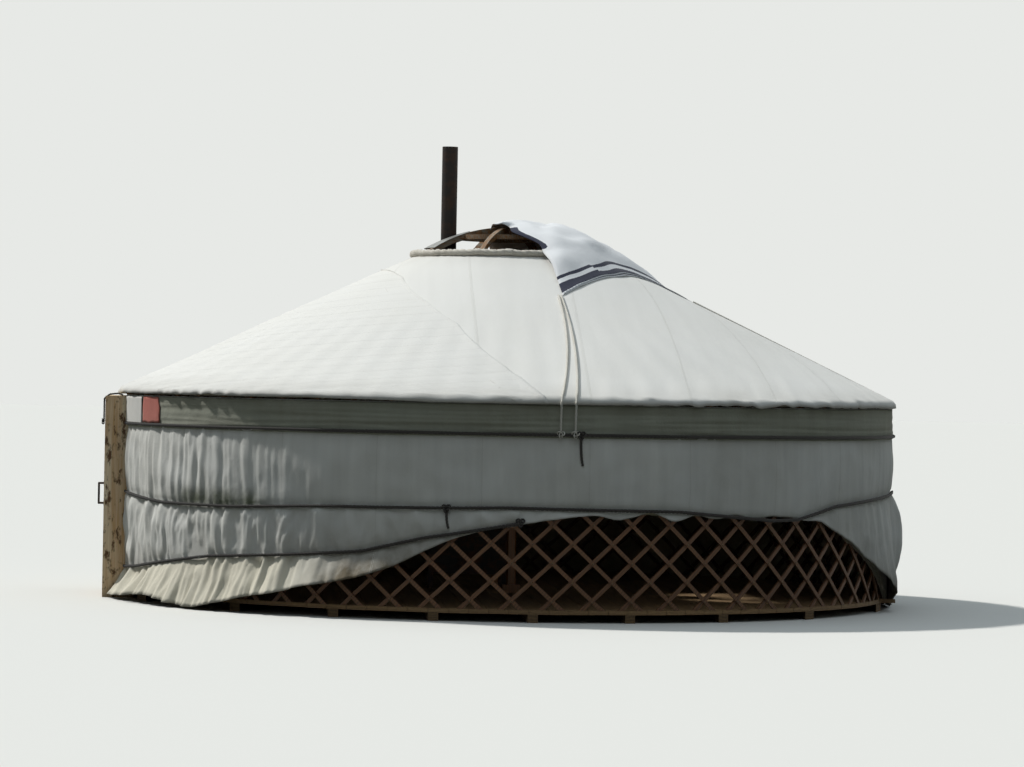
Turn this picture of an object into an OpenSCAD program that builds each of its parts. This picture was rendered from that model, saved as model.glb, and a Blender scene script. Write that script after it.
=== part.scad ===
// Round felt tent: a lattice wall under felt and canvas, a pole roof, a domed crown and a hinged door.
// Millimetres, +Z up. The origin is the centre of the floor, on the ground. The door faces -Y.

/* [Plan] */
// Inside radius of the lattice wall
room_r = 2880; // [2500:20:3300]
// Height of the highest lath crossing above the floor
wall_rise = 1400; // [1250:10:1500]
// Slope of the roof poles in degrees
roof_angle = 25.3; // [20:0.1:30]

/* [Floor] */
// Thickness of the floor boards
board_t = 28; // [20:1:40]
// Height of the bearers under the boards
bearer_h = 62; // [40:2:100]
// Width of a bearer
bearer_w = 70; // [50:5:100]
// Number of bearers
bearer_count = 9; // [5:2:13]

/* [Lattice] */
// Width of a lath
lath_w = 28; // [20:1:36]
// Thickness of a lath
lath_t = 12; // [8:1:16]
// Lattice heads on each section, each carrying one roof pole
heads = 12; // [10:1:14]
// Rows of crossings below the highest one
rows = 10; // [8:1:12]
// Height of the lath tips above the highest crossing
tip_h = 56; // [40:2:60]

/* [Roof poles] */
// Diameter of a roof pole
pole_d = 36; // [30:1:42]
// Side of the square tenon at a pole's inner end
tenon = 24; // [16:1:26]
// Depth of the tenon in the crown ring
tenon_depth = 56; // [40:1:60]
// Number of roof poles over the door
door_poles = 4; // [3:1:5]

/* [Crown] */
// Outside radius of the crown ring
crown_r = 720; // [650:10:800]
// Width of the crown ring
ring_w = 80; // [75:5:110]
// Height of the crown ring
ring_h = 156; // [130:2:180]
// Rise of the arched spokes above the ring
dome_rise = 190; // [140:10:240]
// Width of a spoke
spoke_w = 36; // [28:2:44]
// Depth of a spoke
spoke_h = 40; // [30:2:50]
// Number of arches that cross at the hub
arches = 4; // [3:1:4]
// Radius of the hub
hub_r = 110; // [90:5:140]
// Mean radius of the ring half way up the dome
mid_ring_r = 382; // [330:10:420]
// Side of the two posts under the crown
post_w = 70; // [60:5:90]

/* [Covers] */
// Thickness of the felt
felt_t = 30; // [20:1:40]
// Thickness of the canvas with its folds
canvas_t = 8; // [5:1:12]
// Height of the cloth band under the eave
band_h = 226; // [180:2:260]
// Drop of the roof canvas below its edge
flap_h = 78; // [60:2:100]
// Length of the crown cover's side
crown_cloth = 2000; // [1900:20:2200]

/* [Ropes] */
// Diameter of the ropes round the wall
girth_d = 24; // [16:1:30]
// Diameter of the ropes on the roof
roof_rope_d = 14; // [10:1:18]
// Height of the upper wall rope above the lower edge of the band
upper_rope_up = 21; // [14:1:40]
// Height of the middle wall rope at the door
middle_rope_z = 700; // [660:5:760]
// Rise of the middle wall rope from the door to the back
middle_rope_rise = 100; // [40:5:120]
// Height of the lower wall rope at the back
lower_rope_z = 150; // [120:5:200]
// Height of the covers' lower edge above the ground
hem_low = 6; // [5:1:20]
// Height of the covers' lower edge where they are lifted, below the middle rope
lift_below = 55; // [40:5:100]

/* [Door] */
// Outside width of the door frame
door_w = 1080; // [960:20:1140]
// Width of a jamb
jamb_w = 80; // [60:5:100]
// Distance that the frame stands out from the canvas
frame_out = 170; // [140:10:200]
// Height of the lintel
lintel_h = 88; // [70:2:110]
// Height of the sill above the floor boards
sill_up = 40; // [20:5:60]
// Thickness of the door leaf
leaf_t = 40; // [32:1:48]
// Width of the leaf's stiles
stile_w = 140; // [100:5:170]
// Clearance round the leaf
leaf_gap = 7; // [6:0.5:10]
// Projection of the stop that the leaf closes on
stop_w = 20; // [15:1:30]

/* [Stove] */
// Outside diameter of the stovepipe
pipe_d = 120; // [100:5:140]
// Height of the top of the stovepipe above the ground
pipe_top = 3470; // [3300:10:3600]
// Distance of the stovepipe from the centre, towards the door
pipe_y = 480; // [440:10:500]
// Width of the stove
stove_w = 400; // [340:10:460]
// Length of the stove
stove_l = 600; // [500:10:640]
// Height of the stove's box
stove_h = 380; // [320:10:440]
// Height of the stove's legs
leg_h = 110; // [80:5:150]

/* [Hidden] */
SECTIONS = 5;

// Clearances: between soft or curved neighbours, and round a joint
seat = 0.4;
layer_gap = 0.9;
tenon_gap = 0.3;
// Fineness of the large rings and of small round pieces
ring_fn = 256;
small_fn = 48;
far = 10000;

canvas_white = "#f1f0ea";
felt_grey = "#cfc9b8";
rope_black = "#2b2a28";
door_wood = "#b98a52";
raw_wood = "#c9a06c";
door_blue = "#9ec7cf";

// Wall radii, from the inside out
lattice_out = room_r + 2 * lath_t;
floor_top = bearer_h + board_t;
top_crossing = floor_top + wall_rise;
slope = tan(roof_angle);

// The soft wall is drawn in flat strips, and its radii are those of the strips' middles
strips = 100;
door_half = door_w / 2;
door_edge = door_half + seat;
door_angle = asin(door_edge / room_r);
wall_start = -90 + door_angle;
wall_sweep = 360 - 2 * door_angle;
strip_angle = wall_sweep / strips;
strip_out = 1 / cos(strip_angle / 2);
felt_in = lattice_out + layer_gap;
canvas_in = felt_in + felt_t + seat;
canvas_out = canvas_in + canvas_t;
band_in = canvas_out * strip_out + seat;
band_t = 6;
band_out = band_in + band_t;

// Lattice pattern: one pitch is the angle between two heads
section_angle = wall_sweep / SECTIONS;
pitch_angle = section_angle / heads;
pitch = lattice_out * pitch_angle * PI / 180;
crossing_step = (wall_rise - 2 * lath_w) / rows;
lath_angle = atan(2 * crossing_step / pitch);

// Roof lines, as heights at a given radius
pole_rest = lath_w / 2 / cos(lath_angle) + pole_d / 2 / cos(roof_angle) / cos(lath_angle) + 1;
pole_end_r = lattice_out + pole_d / 2;
function pole_z(r) = top_crossing + pole_rest + (lattice_out - r) * slope;
function upright(t) = t / cos(roof_angle);
function felt_z(r) = pole_z(r) + upright(pole_d / 2 + layer_gap);
function roof_z(r) = felt_z(r) + upright(felt_t + seat);
function roof_top_z(r) = roof_z(r) + upright(canvas_t);
pole_foot_z = pole_z(pole_end_r) - pole_d / 2 * cos(roof_angle);
wall_felt_top = pole_foot_z - 6;
wall_top = pole_foot_z + 12;
roof_felt_r = band_out;
flap_in = roof_felt_r + 11;
flap_out = flap_in + canvas_t;
flap_bottom = roof_z(flap_in) - flap_h + upright(canvas_t) - canvas_t;
band_lap = 30;
band_top = flap_bottom + band_lap;
upper_rope_z = band_top - band_h + upper_rope_up;

// Crown heights
ring_mid_z = pole_z(crown_r);
ring_top = ring_mid_z + ring_h / 2 + 3;
ring_bottom = ring_top - ring_h;
spoke_foot_r = crown_r - ring_w / 2;
dome_r = (spoke_foot_r * spoke_foot_r + dome_rise * dome_rise) / 2 / dome_rise;
dome_z = ring_top + dome_rise - dome_r;
plate_t = 3;
plate_in = dome_r + spoke_h / 2 + seat;
cloth_in = plate_in + plate_t + seat;
cloth_t = 10;

// Door frame: it stands on the ground, and the roof poles over it rest on the lintel
frame_back = sqrt(pow(room_r, 2) - pow(door_half, 2)) - seat;
frame_front = sqrt(pow(canvas_out, 2) - pow(door_half, 2)) + frame_out;
lintel_top = pole_foot_z - seat;
lintel_bottom = lintel_top - lintel_h;
sill_top = floor_top + sill_up;
clear_half = door_half - jamb_w;
leaf_proud = 2;
leaf_front = frame_front + leaf_proud;
leaf_back = leaf_front - leaf_t;
leaf_z0 = sill_top + leaf_gap;
leaf_z1 = lintel_bottom - leaf_gap;
leaf_x0 = -clear_half + leaf_gap;
leaf_x1 = clear_half - leaf_gap - leaf_proud;
stop_gap = 5;
stop_front = leaf_back - stop_gap;
stop_t = 30;

// Hinges: an eye on each strap turns on a pin that stands on a bracket
strap_t = 6;
strap_w = 44;
strap_l = 360;
eye_r = 12;
pin_r = 7;
pin_gap = 0.35;
hinge_x = -clear_half + eye_r / 4;
hinge_y = -(leaf_front + seat + eye_r);
hinge_inset = 220;
hinge_heights = [leaf_z0 + hinge_inset, leaf_z1 - hinge_inset];
bracket_h = 12;

// Heights along the wall, by the angle from +X towards +Y. The covers are lifted on the right:
// each lift is a share of the way from the low edge to the lifted one
lift_points = [
    [-90, 0], [-72, 0.05], [-50, 0.19], [-24, 0.55], [-15, 0.76], [-8, 0.84], [0, 0.94], [6, 1],
    [40, 0.99], [47, 0.94], [56, 0.7], [66, 0.4], [76, 0.08], [84, 0], [270, 0],
];
middle_rope_points = [
    [-90, 0], [-46, 0.45], [-4, 1], [20, 0.85], [36, 0.2], [41, 0.25], [50, 1], [80, 1], [180, 0.7], [270, 0],
];
lower_rope_points = [[-90, 165], [-70, 190], [-50, 260], [-24, 130], [-15, 12], [-2, 10]];
function middle_path_z(a) = middle_rope_z + middle_rope_rise * lookup(a, middle_rope_points);
hem_lift = middle_rope_z + middle_rope_rise - lift_below - hem_low;
function hem(a) = hem_low + hem_lift * lookup(a, lift_points);
function lower_path_z(a) = hem(a) + lookup(a, lower_rope_points);
lower_rope_to = -2;
lower_rope_from = 78;

// Points on the wall and roof by angle, radius and height
function polar(a, r, z) = [r * cos(a), r * sin(a), z];
function column_angle(i, r) =
    i <= 0 ? -90 + asin(door_edge / r)
    : i >= strips ? 270 - asin(door_edge / r)
    : wall_start + i * strip_angle;

// A hanging sheet between two strips, with its lower edge on the hem plus a lift
module hung_sheet(from, to, r_in, t, top, lift = 0) {
    n = to - from + 1;
    points = [
        for (i = [from:to])
            let (r0 = r_in * strip_out, r1 = (r_in + t) * strip_out)
            let (a0 = column_angle(i, r0), a1 = column_angle(i, r1))
            each [
                polar(a0, r0, hem(a0) + lift), polar(a1, r1, hem(a0) + lift),
                polar(a1, r1, top), polar(a0, r0, top),
            ],
    ];
    sides = [
        for (i = [0:n - 2], k = [0:3])
            each [
                [4 * i + k, 4 * i + 4 + (k + 1) % 4, 4 * i + (k + 1) % 4],
                [4 * i + k, 4 * i + 4 + k, 4 * i + 4 + (k + 1) % 4],
            ],
    ];
    ends = [[0, 1, 2], [0, 2, 3], [4 * n - 1, 4 * n - 2, 4 * n - 3], [4 * n - 1, 4 * n - 3, 4 * n - 4]];
    polyhedron(points = points, faces = concat(sides, ends));
}

// A round rope swept along points, each with its own outward direction
function unit(v) = v / norm(v);
module rope(path, out, d, sides = 8) {
    n = len(path);
    points = [
        for (i = [0:n - 1])
            let (along = unit(path[min(i + 1, n - 1)] - path[max(i - 1, 0)]))
            let (across = unit(cross(along, out[i])), up = cross(across, along))
            for (k = [0:sides - 1])
                path[i] + d / 2 * (cos(360 * k / sides) * across + sin(360 * k / sides) * up),
    ];
    skin = [
        for (i = [0:n - 2], k = [0:sides - 1])
            let (a = i * sides + k, b = i * sides + (k + 1) % sides)
            each [[a, b, b + sides], [a, b + sides, a + sides]],
    ];
    caps = [
        for (k = [1:sides - 2])
            each [[0, k + 1, k], [(n - 1) * sides, (n - 1) * sides + k, (n - 1) * sides + k + 1]],
    ];
    polyhedron(points = points, faces = concat(skin, caps));
}

// A ring of rectangular section between two angles
module ring_arc(r0, r1, z0, z1, from = 0, to = 360) {
    rotate([0, 0, from])
        rotate_extrude(angle = to - from, $fn = ring_fn)
            translate([r0, z0]) square([r1 - r0, z1 - z0]);
}

module door_gap(z0 = -far, z1 = far) {
    translate([-door_edge, -far, z0]) cube([2 * door_edge, far - frame_back + seat, z1 - z0]);
}

// Floor
module floor_bearers() {
    spread = 2 * (frame_back - bearer_w) / (bearer_count - 1);
    color(raw_wood)
        intersection() {
            cylinder(r = lattice_out, h = bearer_h, $fn = ring_fn);
            union()
                for (i = [0:bearer_count - 1])
                    translate([-far / 2, (i - (bearer_count - 1) / 2) * spread - bearer_w / 2, 0])
                        cube([far, bearer_w, bearer_h]);
        }
}

module floor_boards() {
    color(raw_wood)
        difference() {
            translate([0, 0, bearer_h]) cylinder(r = lattice_out, h = board_t, $fn = ring_fn);
            door_gap();
        }
}

// Lattice: slanting laths in two layers, cut from a thin round shell
module lath_layer(side) {
    z0 = floor_top;
    z1 = top_crossing + tip_h;
    mid_z = (z0 + z1) / 2;
    lean = (top_crossing - mid_z) / (2 * crossing_step);
    reach = ceil((top_crossing - z0) / (2 * crossing_step));
    overlap = 1;
    lath_l = 2 * (z1 - z0);
    r0 = side > 0 ? room_r + lath_t - overlap : room_r;
    r1 = side > 0 ? lattice_out : room_r + lath_t + overlap;
    intersection() {
        ring_arc(r0, r1, z0, z1, 0, section_angle);
        union()
            for (i = [-reach:heads - 1]) {
                column = side > 0 ? i + 0.5 + lean : heads - 0.5 - i - lean;
                rotate([0, 0, column * pitch_angle])
                    translate([room_r, 0, mid_z])
                        rotate([side * (90 - lath_angle), 0, 0])
                            translate([-room_r / 8, -lath_w / 2, -lath_l / 2])
                                cube([room_r / 6, lath_w, lath_l]);
            }
    }
}

module lattice(section) {
    color(door_wood)
        rotate([0, 0, wall_start + section * section_angle])
            union() {
                lath_layer(1);
                lath_layer(-1);
            }
}

// Angles that every girdle round the wall starts and ends within, before the door cuts it
round_from = -85;
round_to = 265;

// Wall felts and canvas
felt_up = 15;
module wall_felt(part) {
    color(felt_grey)
        hung_sheet(part * strips / 4, (part + 1) * strips / 4, felt_in, felt_t, wall_felt_top, felt_up);
}

module wall_cover(from, to) {
    color(canvas_white) hung_sheet(from, to, canvas_in, canvas_t, wall_top);
}

module eave_band() {
    color(felt_grey)
        difference() {
            ring_arc(band_in, band_out, band_top - band_h, band_top, round_from, round_to);
            door_gap();
        }
}

module band_patches() {
    patch_w = 230;
    patch_t = 3;
    inset = 200;
    patch_gap = 10;
    patch_angle = patch_w / band_out * 180 / PI;
    first = wall_start + inset / band_out * 180 / PI;
    color("#b5503f")
        for (from = [first, 180 - first - patch_angle])
            ring_arc(
                band_out + seat, band_out + seat + patch_t,
                upper_rope_z + girth_d / 2 + patch_gap, flap_bottom - patch_gap, from, from + patch_angle
            );
}

// Ropes round the wall. The lower one stops where the covers are lifted, tied up to the middle one
rope_seat_r = canvas_out * strip_out + seat;
rope_path_r = rope_seat_r + girth_d / 2;
rope_start = -90 + asin((door_edge + girth_d / 2) / rope_path_r);
function rope_columns(from, to) = [
    for (i = [0:strips])
        let (a = i == 0 ? rope_start : i == strips ? 180 - rope_start : wall_start + i * strip_angle)
        if (a >= from && a <= to) a,
];

module wall_ropes() {
    round_about = rope_columns(round_from, round_to);
    right = rope_columns(round_from, lower_rope_to);
    rest = rope_columns(lower_rope_from, round_to);
    function lay(angles) = [for (a = angles) polar(a, 1, 0)];
    color(rope_black) {
        difference() {
            rotate([0, 0, round_from])
                rotate_extrude(angle = round_to - round_from, $fn = ring_fn)
                    translate([band_out + seat + girth_d / 2, upper_rope_z])
                        circle(d = girth_d, $fn = small_fn);
            door_gap();
        }
        rope([for (a = round_about) polar(a, rope_path_r, middle_path_z(a))], lay(round_about), girth_d);
        rope([for (a = right) polar(a, rope_path_r, lower_path_z(a))], lay(right), girth_d);
        rope([for (a = rest) polar(a, rope_path_r, lower_rope_z)], lay(rest), girth_d);
    }
}

// Loose ends that hang from the knots
tail_d = 18;
module tail(a, r, top, length) {
    sway = 0.3;
    path = [for (i = [0:6]) polar(a + sway * pow(i / 6, 3), r, top - i * length / 6)];
    color(rope_black) rope(path, [for (p = path) polar(a, 1, 0)], tail_d);
}

tail_upper_angle = 6;
tail_middle_angle = -12;
tail_upper_l = 200;
tail_middle_l = 130;
module rope_tail_upper() {
    tail(tail_upper_angle, band_out + seat + girth_d / 2, upper_rope_z - girth_d / 2 - seat, tail_upper_l);
}

module rope_tail_middle() {
    knot_z = middle_path_z(tail_middle_angle) - girth_d / 2;
    tail(tail_middle_angle, rope_path_r, knot_z - 2 * seat, tail_middle_l);
}

// Roof poles: round shafts with square tenons in the crown ring
module along_pole(a, r) {
    rotate([0, 0, a])
        translate([r, 0, pole_z(r)])
            rotate([0, roof_angle - 90, 0]) children();
}

shoulder_r = crown_r + 16;
neck_l = 90;
module roof_pole(a) {
    shaft = (pole_end_r - shoulder_r) / cos(roof_angle);
    tongue = (shoulder_r - crown_r + tenon_depth) / cos(roof_angle);
    along_pole(a, pole_end_r) {
        cylinder(d = pole_d, h = shaft - neck_l, $fn = small_fn);
        translate([0, 0, shaft - neck_l]) cylinder(d1 = pole_d, d2 = tenon, h = neck_l, $fn = small_fn);
        translate([-tenon / 2, -tenon / 2, shaft - neck_l / 3]) cube([tenon, tenon, tongue + neck_l / 3]);
    }
}

function section_pole_angle(section, i) =
    wall_start + section * section_angle + (i + 0.5) * pitch_angle;
function door_pole_angle(i) = -90 + (i - (door_poles - 1) / 2) * 2 * door_angle / door_poles;

module roof_poles(section) {
    color(door_wood) for (i = [0:heads - 1]) roof_pole(section_pole_angle(section, i));
}

module roof_poles_door() {
    color(door_wood) for (i = [0:door_poles - 1]) roof_pole(door_pole_angle(i));
}

// Roof felt and canvas, each in a front and a back half that meet over the sides
module roof_felt(from) {
    hole = crown_r + 2;
    color(felt_grey)
        rotate([0, 0, from])
            rotate_extrude(angle = 180, $fn = ring_fn)
                polygon([
                    [hole, felt_z(hole)], [roof_felt_r, felt_z(roof_felt_r)],
                    [roof_felt_r, felt_z(roof_felt_r) + upright(felt_t)],
                    [hole, felt_z(hole) + upright(felt_t)],
                ]);
}

module roof_cover(from) {
    hole = crown_r + 2;
    color(canvas_white)
        difference() {
            rotate([0, 0, from])
                rotate_extrude(angle = 180, $fn = ring_fn)
                    polygon([
                        [hole, roof_z(hole)], [flap_in, roof_z(flap_in)], [flap_in, flap_bottom],
                        [flap_out, flap_bottom], [flap_out, roof_top_z(flap_out)], [hole, roof_top_z(hole)],
                    ]);
            door_gap(z1 = lintel_top + seat);
        }
}

// Crown: a mortised ring, arched spokes with a hub, and two posts
module crown_ring() {
    edge = 10;
    color(door_wood)
        difference() {
            rotate_extrude($fn = ring_fn)
                translate([crown_r - ring_w, ring_bottom])
                    polygon([
                        [0, edge], [edge, 0], [ring_w - edge, 0], [ring_w, edge],
                        [ring_w, ring_h - edge], [ring_w - edge, ring_h], [edge, ring_h], [0, ring_h - edge],
                    ]);
            union() {
                for (s = [0:SECTIONS - 1], i = [0:heads - 1]) mortise(section_pole_angle(s, i));
                for (i = [0:door_poles - 1]) mortise(door_pole_angle(i));
            }
        }
}

module mortise(a) {
    side = tenon + 2 * tenon_gap;
    along_pole(a, crown_r + 30)
        translate([-side / 2, -side / 2, 0])
            cube([side, side, (30 + tenon_depth + 3) / cos(roof_angle)]);
}

module crown_spokes() {
    inner = hub_r - 50;
    mid_z = dome_z + sqrt(dome_r * dome_r - mid_ring_r * mid_ring_r);
    color(door_wood)
        union() {
            for (i = [0:2 * arches - 1])
                rotate([0, 0, (i + 0.5) * 180 / arches])
                    translate([0, 0, dome_z])
                        rotate([90, 0, 0])
                            linear_extrude(height = spoke_w, center = true)
                                intersection() {
                                    difference() {
                                        circle(r = dome_r + spoke_h / 2, $fn = ring_fn);
                                        circle(r = dome_r - spoke_h / 2, $fn = ring_fn);
                                    }
                                    translate([inner, ring_top + seat - dome_z])
                                        square([crown_r, dome_r]);
                                }
            translate([0, 0, dome_z + dome_r - spoke_h / 2 - 12])
                cylinder(r = hub_r, h = spoke_h + 6, $fn = ring_fn);
            ring_arc(
                mid_ring_r - spoke_h / 2, mid_ring_r + spoke_h / 2,
                mid_z - spoke_h / 2 - 8, mid_z + spoke_h / 2 - 12
            );
        }
}

post_x = crown_r - ring_w / 2;
module crown_posts() {
    foot = 130;
    foot_h = 60;
    cap_l = 420;
    cap_h = 120;
    cap_tip = 34;
    edge = post_w / 6;
    cap_top = ring_bottom - floor_top - seat;
    cap_curve = cap_h - cap_tip;
    color(door_wood)
        for (side = [-1, 1])
            translate([side * post_x, 0, floor_top]) {
                linear_extrude(height = cap_top - cap_h + 1)
                    difference() {
                        square(post_w, center = true);
                        for (turn = [0:90:270])
                            rotate(turn)
                                translate([post_w / 2, post_w / 2])
                                    rotate(45) square(edge * sqrt(2), center = true);
                    }
                translate([-foot / 2, -foot / 2, 0]) cube([foot, foot, foot_h]);
                translate([0, 0, cap_top - cap_h])
                    difference() {
                        translate([-post_w / 2, -cap_l / 2, 0]) cube([post_w, cap_l, cap_h]);
                        for (end = [-1, 1])
                            translate([0, end * (post_w / 2 + cap_curve), 0]) {
                                rotate([0, 90, 0])
                                    cylinder(r = cap_curve, h = 2 * post_w, center = true, $fn = ring_fn);
                                translate([-post_w, end > 0 ? 0 : -cap_l, -1])
                                    cube([2 * post_w, cap_l, cap_curve + 1]);
                            }
                    }
            }
}

// Crown cover: a square cloth folded corner to corner, laid over the back of the dome
cloth_corner = crown_cloth / sqrt(2);
fold_mid_y = 130;
fold_end_y = 280;
fold_end_x = sqrt(pow(cloth_corner, 2) - pow(fold_end_y, 2));
module crown_cover() {
    lip = crown_r + 2;
    toe = crown_r + 70;
    reach = cloth_corner + 40;
    function over_dome(r) = dome_z + sqrt(cloth_in * cloth_in - r * r);
    color(canvas_white)
        intersection() {
            rotate_extrude($fn = ring_fn)
                union() {
                    intersection() {
                        translate([0, dome_z])
                            difference() {
                                circle(r = cloth_in + cloth_t, $fn = ring_fn);
                                circle(r = cloth_in, $fn = ring_fn);
                            }
                        translate([0, over_dome(lip)]) square([lip, dome_r]);
                    }
                    polygon([
                        [lip - 30, over_dome(lip - 30) + 1], [lip, over_dome(lip)],
                        [toe, roof_top_z(toe) + seat], [reach, roof_top_z(reach) + seat],
                        [reach, roof_top_z(reach) + cloth_t], [toe, roof_top_z(toe) + cloth_t + 2],
                        [lip, over_dome(lip) + cloth_t], [lip - 30, over_dome(lip - 30) + cloth_t],
                    ]);
                }
            linear_extrude(height = pipe_top)
                polygon([
                    [fold_end_x, fold_end_y], [0, cloth_corner],
                    [-fold_end_x, fold_end_y], [-post_x, fold_mid_y], [post_x, fold_mid_y],
                ]);
        }
}

// Ropes from the corners of the crown cover over the eave to the upper wall rope
function roof_line(a0, a1, r0) = [
    for (i = [0:7])
        let (r = r0 + (flap_out - roof_rope_d - r0) * i / 7)
        polar(a0 + (a1 - a0) * i / 7, r, roof_top_z(r) + upright(roof_rope_d / 2) + seat),
    polar(a1, flap_out + rope_turn * cos(eave_turn), roof_top_z(flap_out) + rope_turn * sin(eave_turn)),
    polar(a1, flap_out + roof_rope_d / 2 + rope_ease / 2, roof_top_z(flap_out) - roof_rope_d),
    polar(a1, flap_out + roof_rope_d / 2 + rope_ease / 2, flap_bottom),
    polar(a1, band_out + girth_d / 2 + roof_rope_d / 2, upper_rope_z + girth_d / 2 + roof_rope_d / 2 + 1),
];
rope_ease = 2;
rope_turn = roof_rope_d / 2 + rope_ease;
eave_turn = (90 - roof_angle) / 2;
module crown_ropes() {
    corner_angle = atan2(fold_end_y, fold_end_x);
    start_r = cloth_corner + 14;
    runs = [
        [corner_angle, 5.2], [corner_angle - 0.8, 3.2],
        [180 - corner_angle, 174.8], [180.8 - corner_angle, 176.8], [90, 90],
    ];
    color("#d8d4c4")
        for (run = runs) {
            path = roof_line(run[0], run[1], start_r);
            rope(path, [for (p = path) unit([p[0], p[1], norm([p[0], p[1]])])], roof_rope_d, 6);
        }
}

// Door frame
module door_jambs() {
    color(door_wood) {
        jamb();
        mirror([1, 0, 0]) jamb();
    }
}

module jamb() {
    union() {
        translate([clear_half, -frame_front, 0]) cube([jamb_w, frame_front - frame_back, lintel_top]);
        translate([clear_half - stop_w, -stop_front, sill_top + seat])
            cube([stop_w + 1, stop_t, lintel_bottom - sill_top - 2 * seat]);
    }
}

module door_lintel() {
    color(door_wood)
        translate([-clear_half + seat, -frame_front, lintel_bottom])
            cube([2 * (clear_half - seat), frame_front - frame_back, lintel_h]);
}

module door_sill() {
    color(door_wood)
        translate([-clear_half + seat, -frame_front, 0])
            cube([2 * (clear_half - seat), frame_front - frame_back, sill_top]);
}

// Hinges
module door_pintles() {
    plate_w = 60;
    plate_h = 90;
    plate_t = 6;
    boss_r = pin_r + 1;
    plate_front = frame_front + seat + plate_t;
    plate_right = hinge_x - 1.5 * eye_r;
    color("#3a3733")
        for (z = hinge_heights) {
            bracket_z = z - strap_w / 2 - seat - bracket_h;
            union() {
                translate([plate_right - plate_w, -plate_front, z - plate_h / 2])
                    cube([plate_w, plate_t, plate_h]);
                translate([plate_right - 10, hinge_y - boss_r, bracket_z])
                    cube([hinge_x - plate_right + 10, boss_r + 1 - plate_front - hinge_y, bracket_h]);
                translate([hinge_x, hinge_y, bracket_z]) cylinder(r = boss_r, h = bracket_h, $fn = small_fn);
                translate([hinge_x, hinge_y, bracket_z + bracket_h - 1])
                    cylinder(r = pin_r, h = 1.25 * strap_w, $fn = small_fn);
            }
        }
}

module door_straps() {
    back = -(leaf_front + seat);
    color("#3a3733")
        for (z = hinge_heights)
            difference() {
                union() {
                    translate([hinge_x, back - strap_t, z - strap_w / 2]) cube([strap_l, strap_t, strap_w]);
                    translate([hinge_x, hinge_y, z - strap_w / 2])
                        cylinder(r = eye_r, h = strap_w, $fn = small_fn);
                }
                translate([hinge_x, hinge_y, z - strap_w])
                    cylinder(r = pin_r + pin_gap, h = 2 * strap_w, $fn = small_fn);
            }
}

// Door leaf: a frame with three painted panels
top_rail = 74;
bottom_rail = 112;
mid_rail = 32;
top_panel_h = 172;
bottom_panel_h = 182;
panel_t = 16;
panel_back = 12;
middle_panel_z = leaf_z0 + bottom_rail + bottom_panel_h + mid_rail;
top_panel_z = leaf_z1 - top_rail - top_panel_h;
panel_rows = [
    [leaf_z0 + bottom_rail, bottom_panel_h],
    [middle_panel_z, top_panel_z - mid_rail - middle_panel_z],
    [top_panel_z, top_panel_h],
];

module door_leaf() {
    color(door_wood)
        difference() {
            translate([leaf_x0, -leaf_front, leaf_z0]) cube([leaf_x1 - leaf_x0, leaf_t, leaf_z1 - leaf_z0]);
            for (row = panel_rows)
                translate([leaf_x0 + stile_w, -leaf_front - 1, row[0]])
                    cube([leaf_x1 - leaf_x0 - 2 * stile_w, leaf_t + 2, row[1]]);
        }
}

module door_panels() {
    color(door_blue)
        for (row = panel_rows)
            translate([leaf_x0 + stile_w + seat, -leaf_front + panel_back, row[0] + seat])
                cube([leaf_x1 - leaf_x0 - 2 * stile_w - 2 * seat, panel_t, row[1] - 2 * seat]);
}

module door_handle() {
    grip_l = 150;
    grip_r = 8;
    stand_off = 40;
    color("#3a3733")
        translate([leaf_x1 - stile_w / 2, -leaf_front - seat, (leaf_z0 + leaf_z1) / 2])
            union() {
                for (side = [-1, 1])
                    translate([0, 0, side * grip_l / 2]) {
                        rotate([90, 0, 0]) cylinder(r = grip_r, h = stand_off, $fn = small_fn);
                        rotate([90, 0, 0]) cylinder(r = 2.4 * grip_r, h = 4, $fn = small_fn);
                        translate([0, -stand_off, 0]) sphere(r = grip_r, $fn = small_fn);
                    }
                translate([0, -stand_off, -grip_l / 2]) cylinder(r = grip_r, h = grip_l, $fn = small_fn);
            }
}

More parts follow.
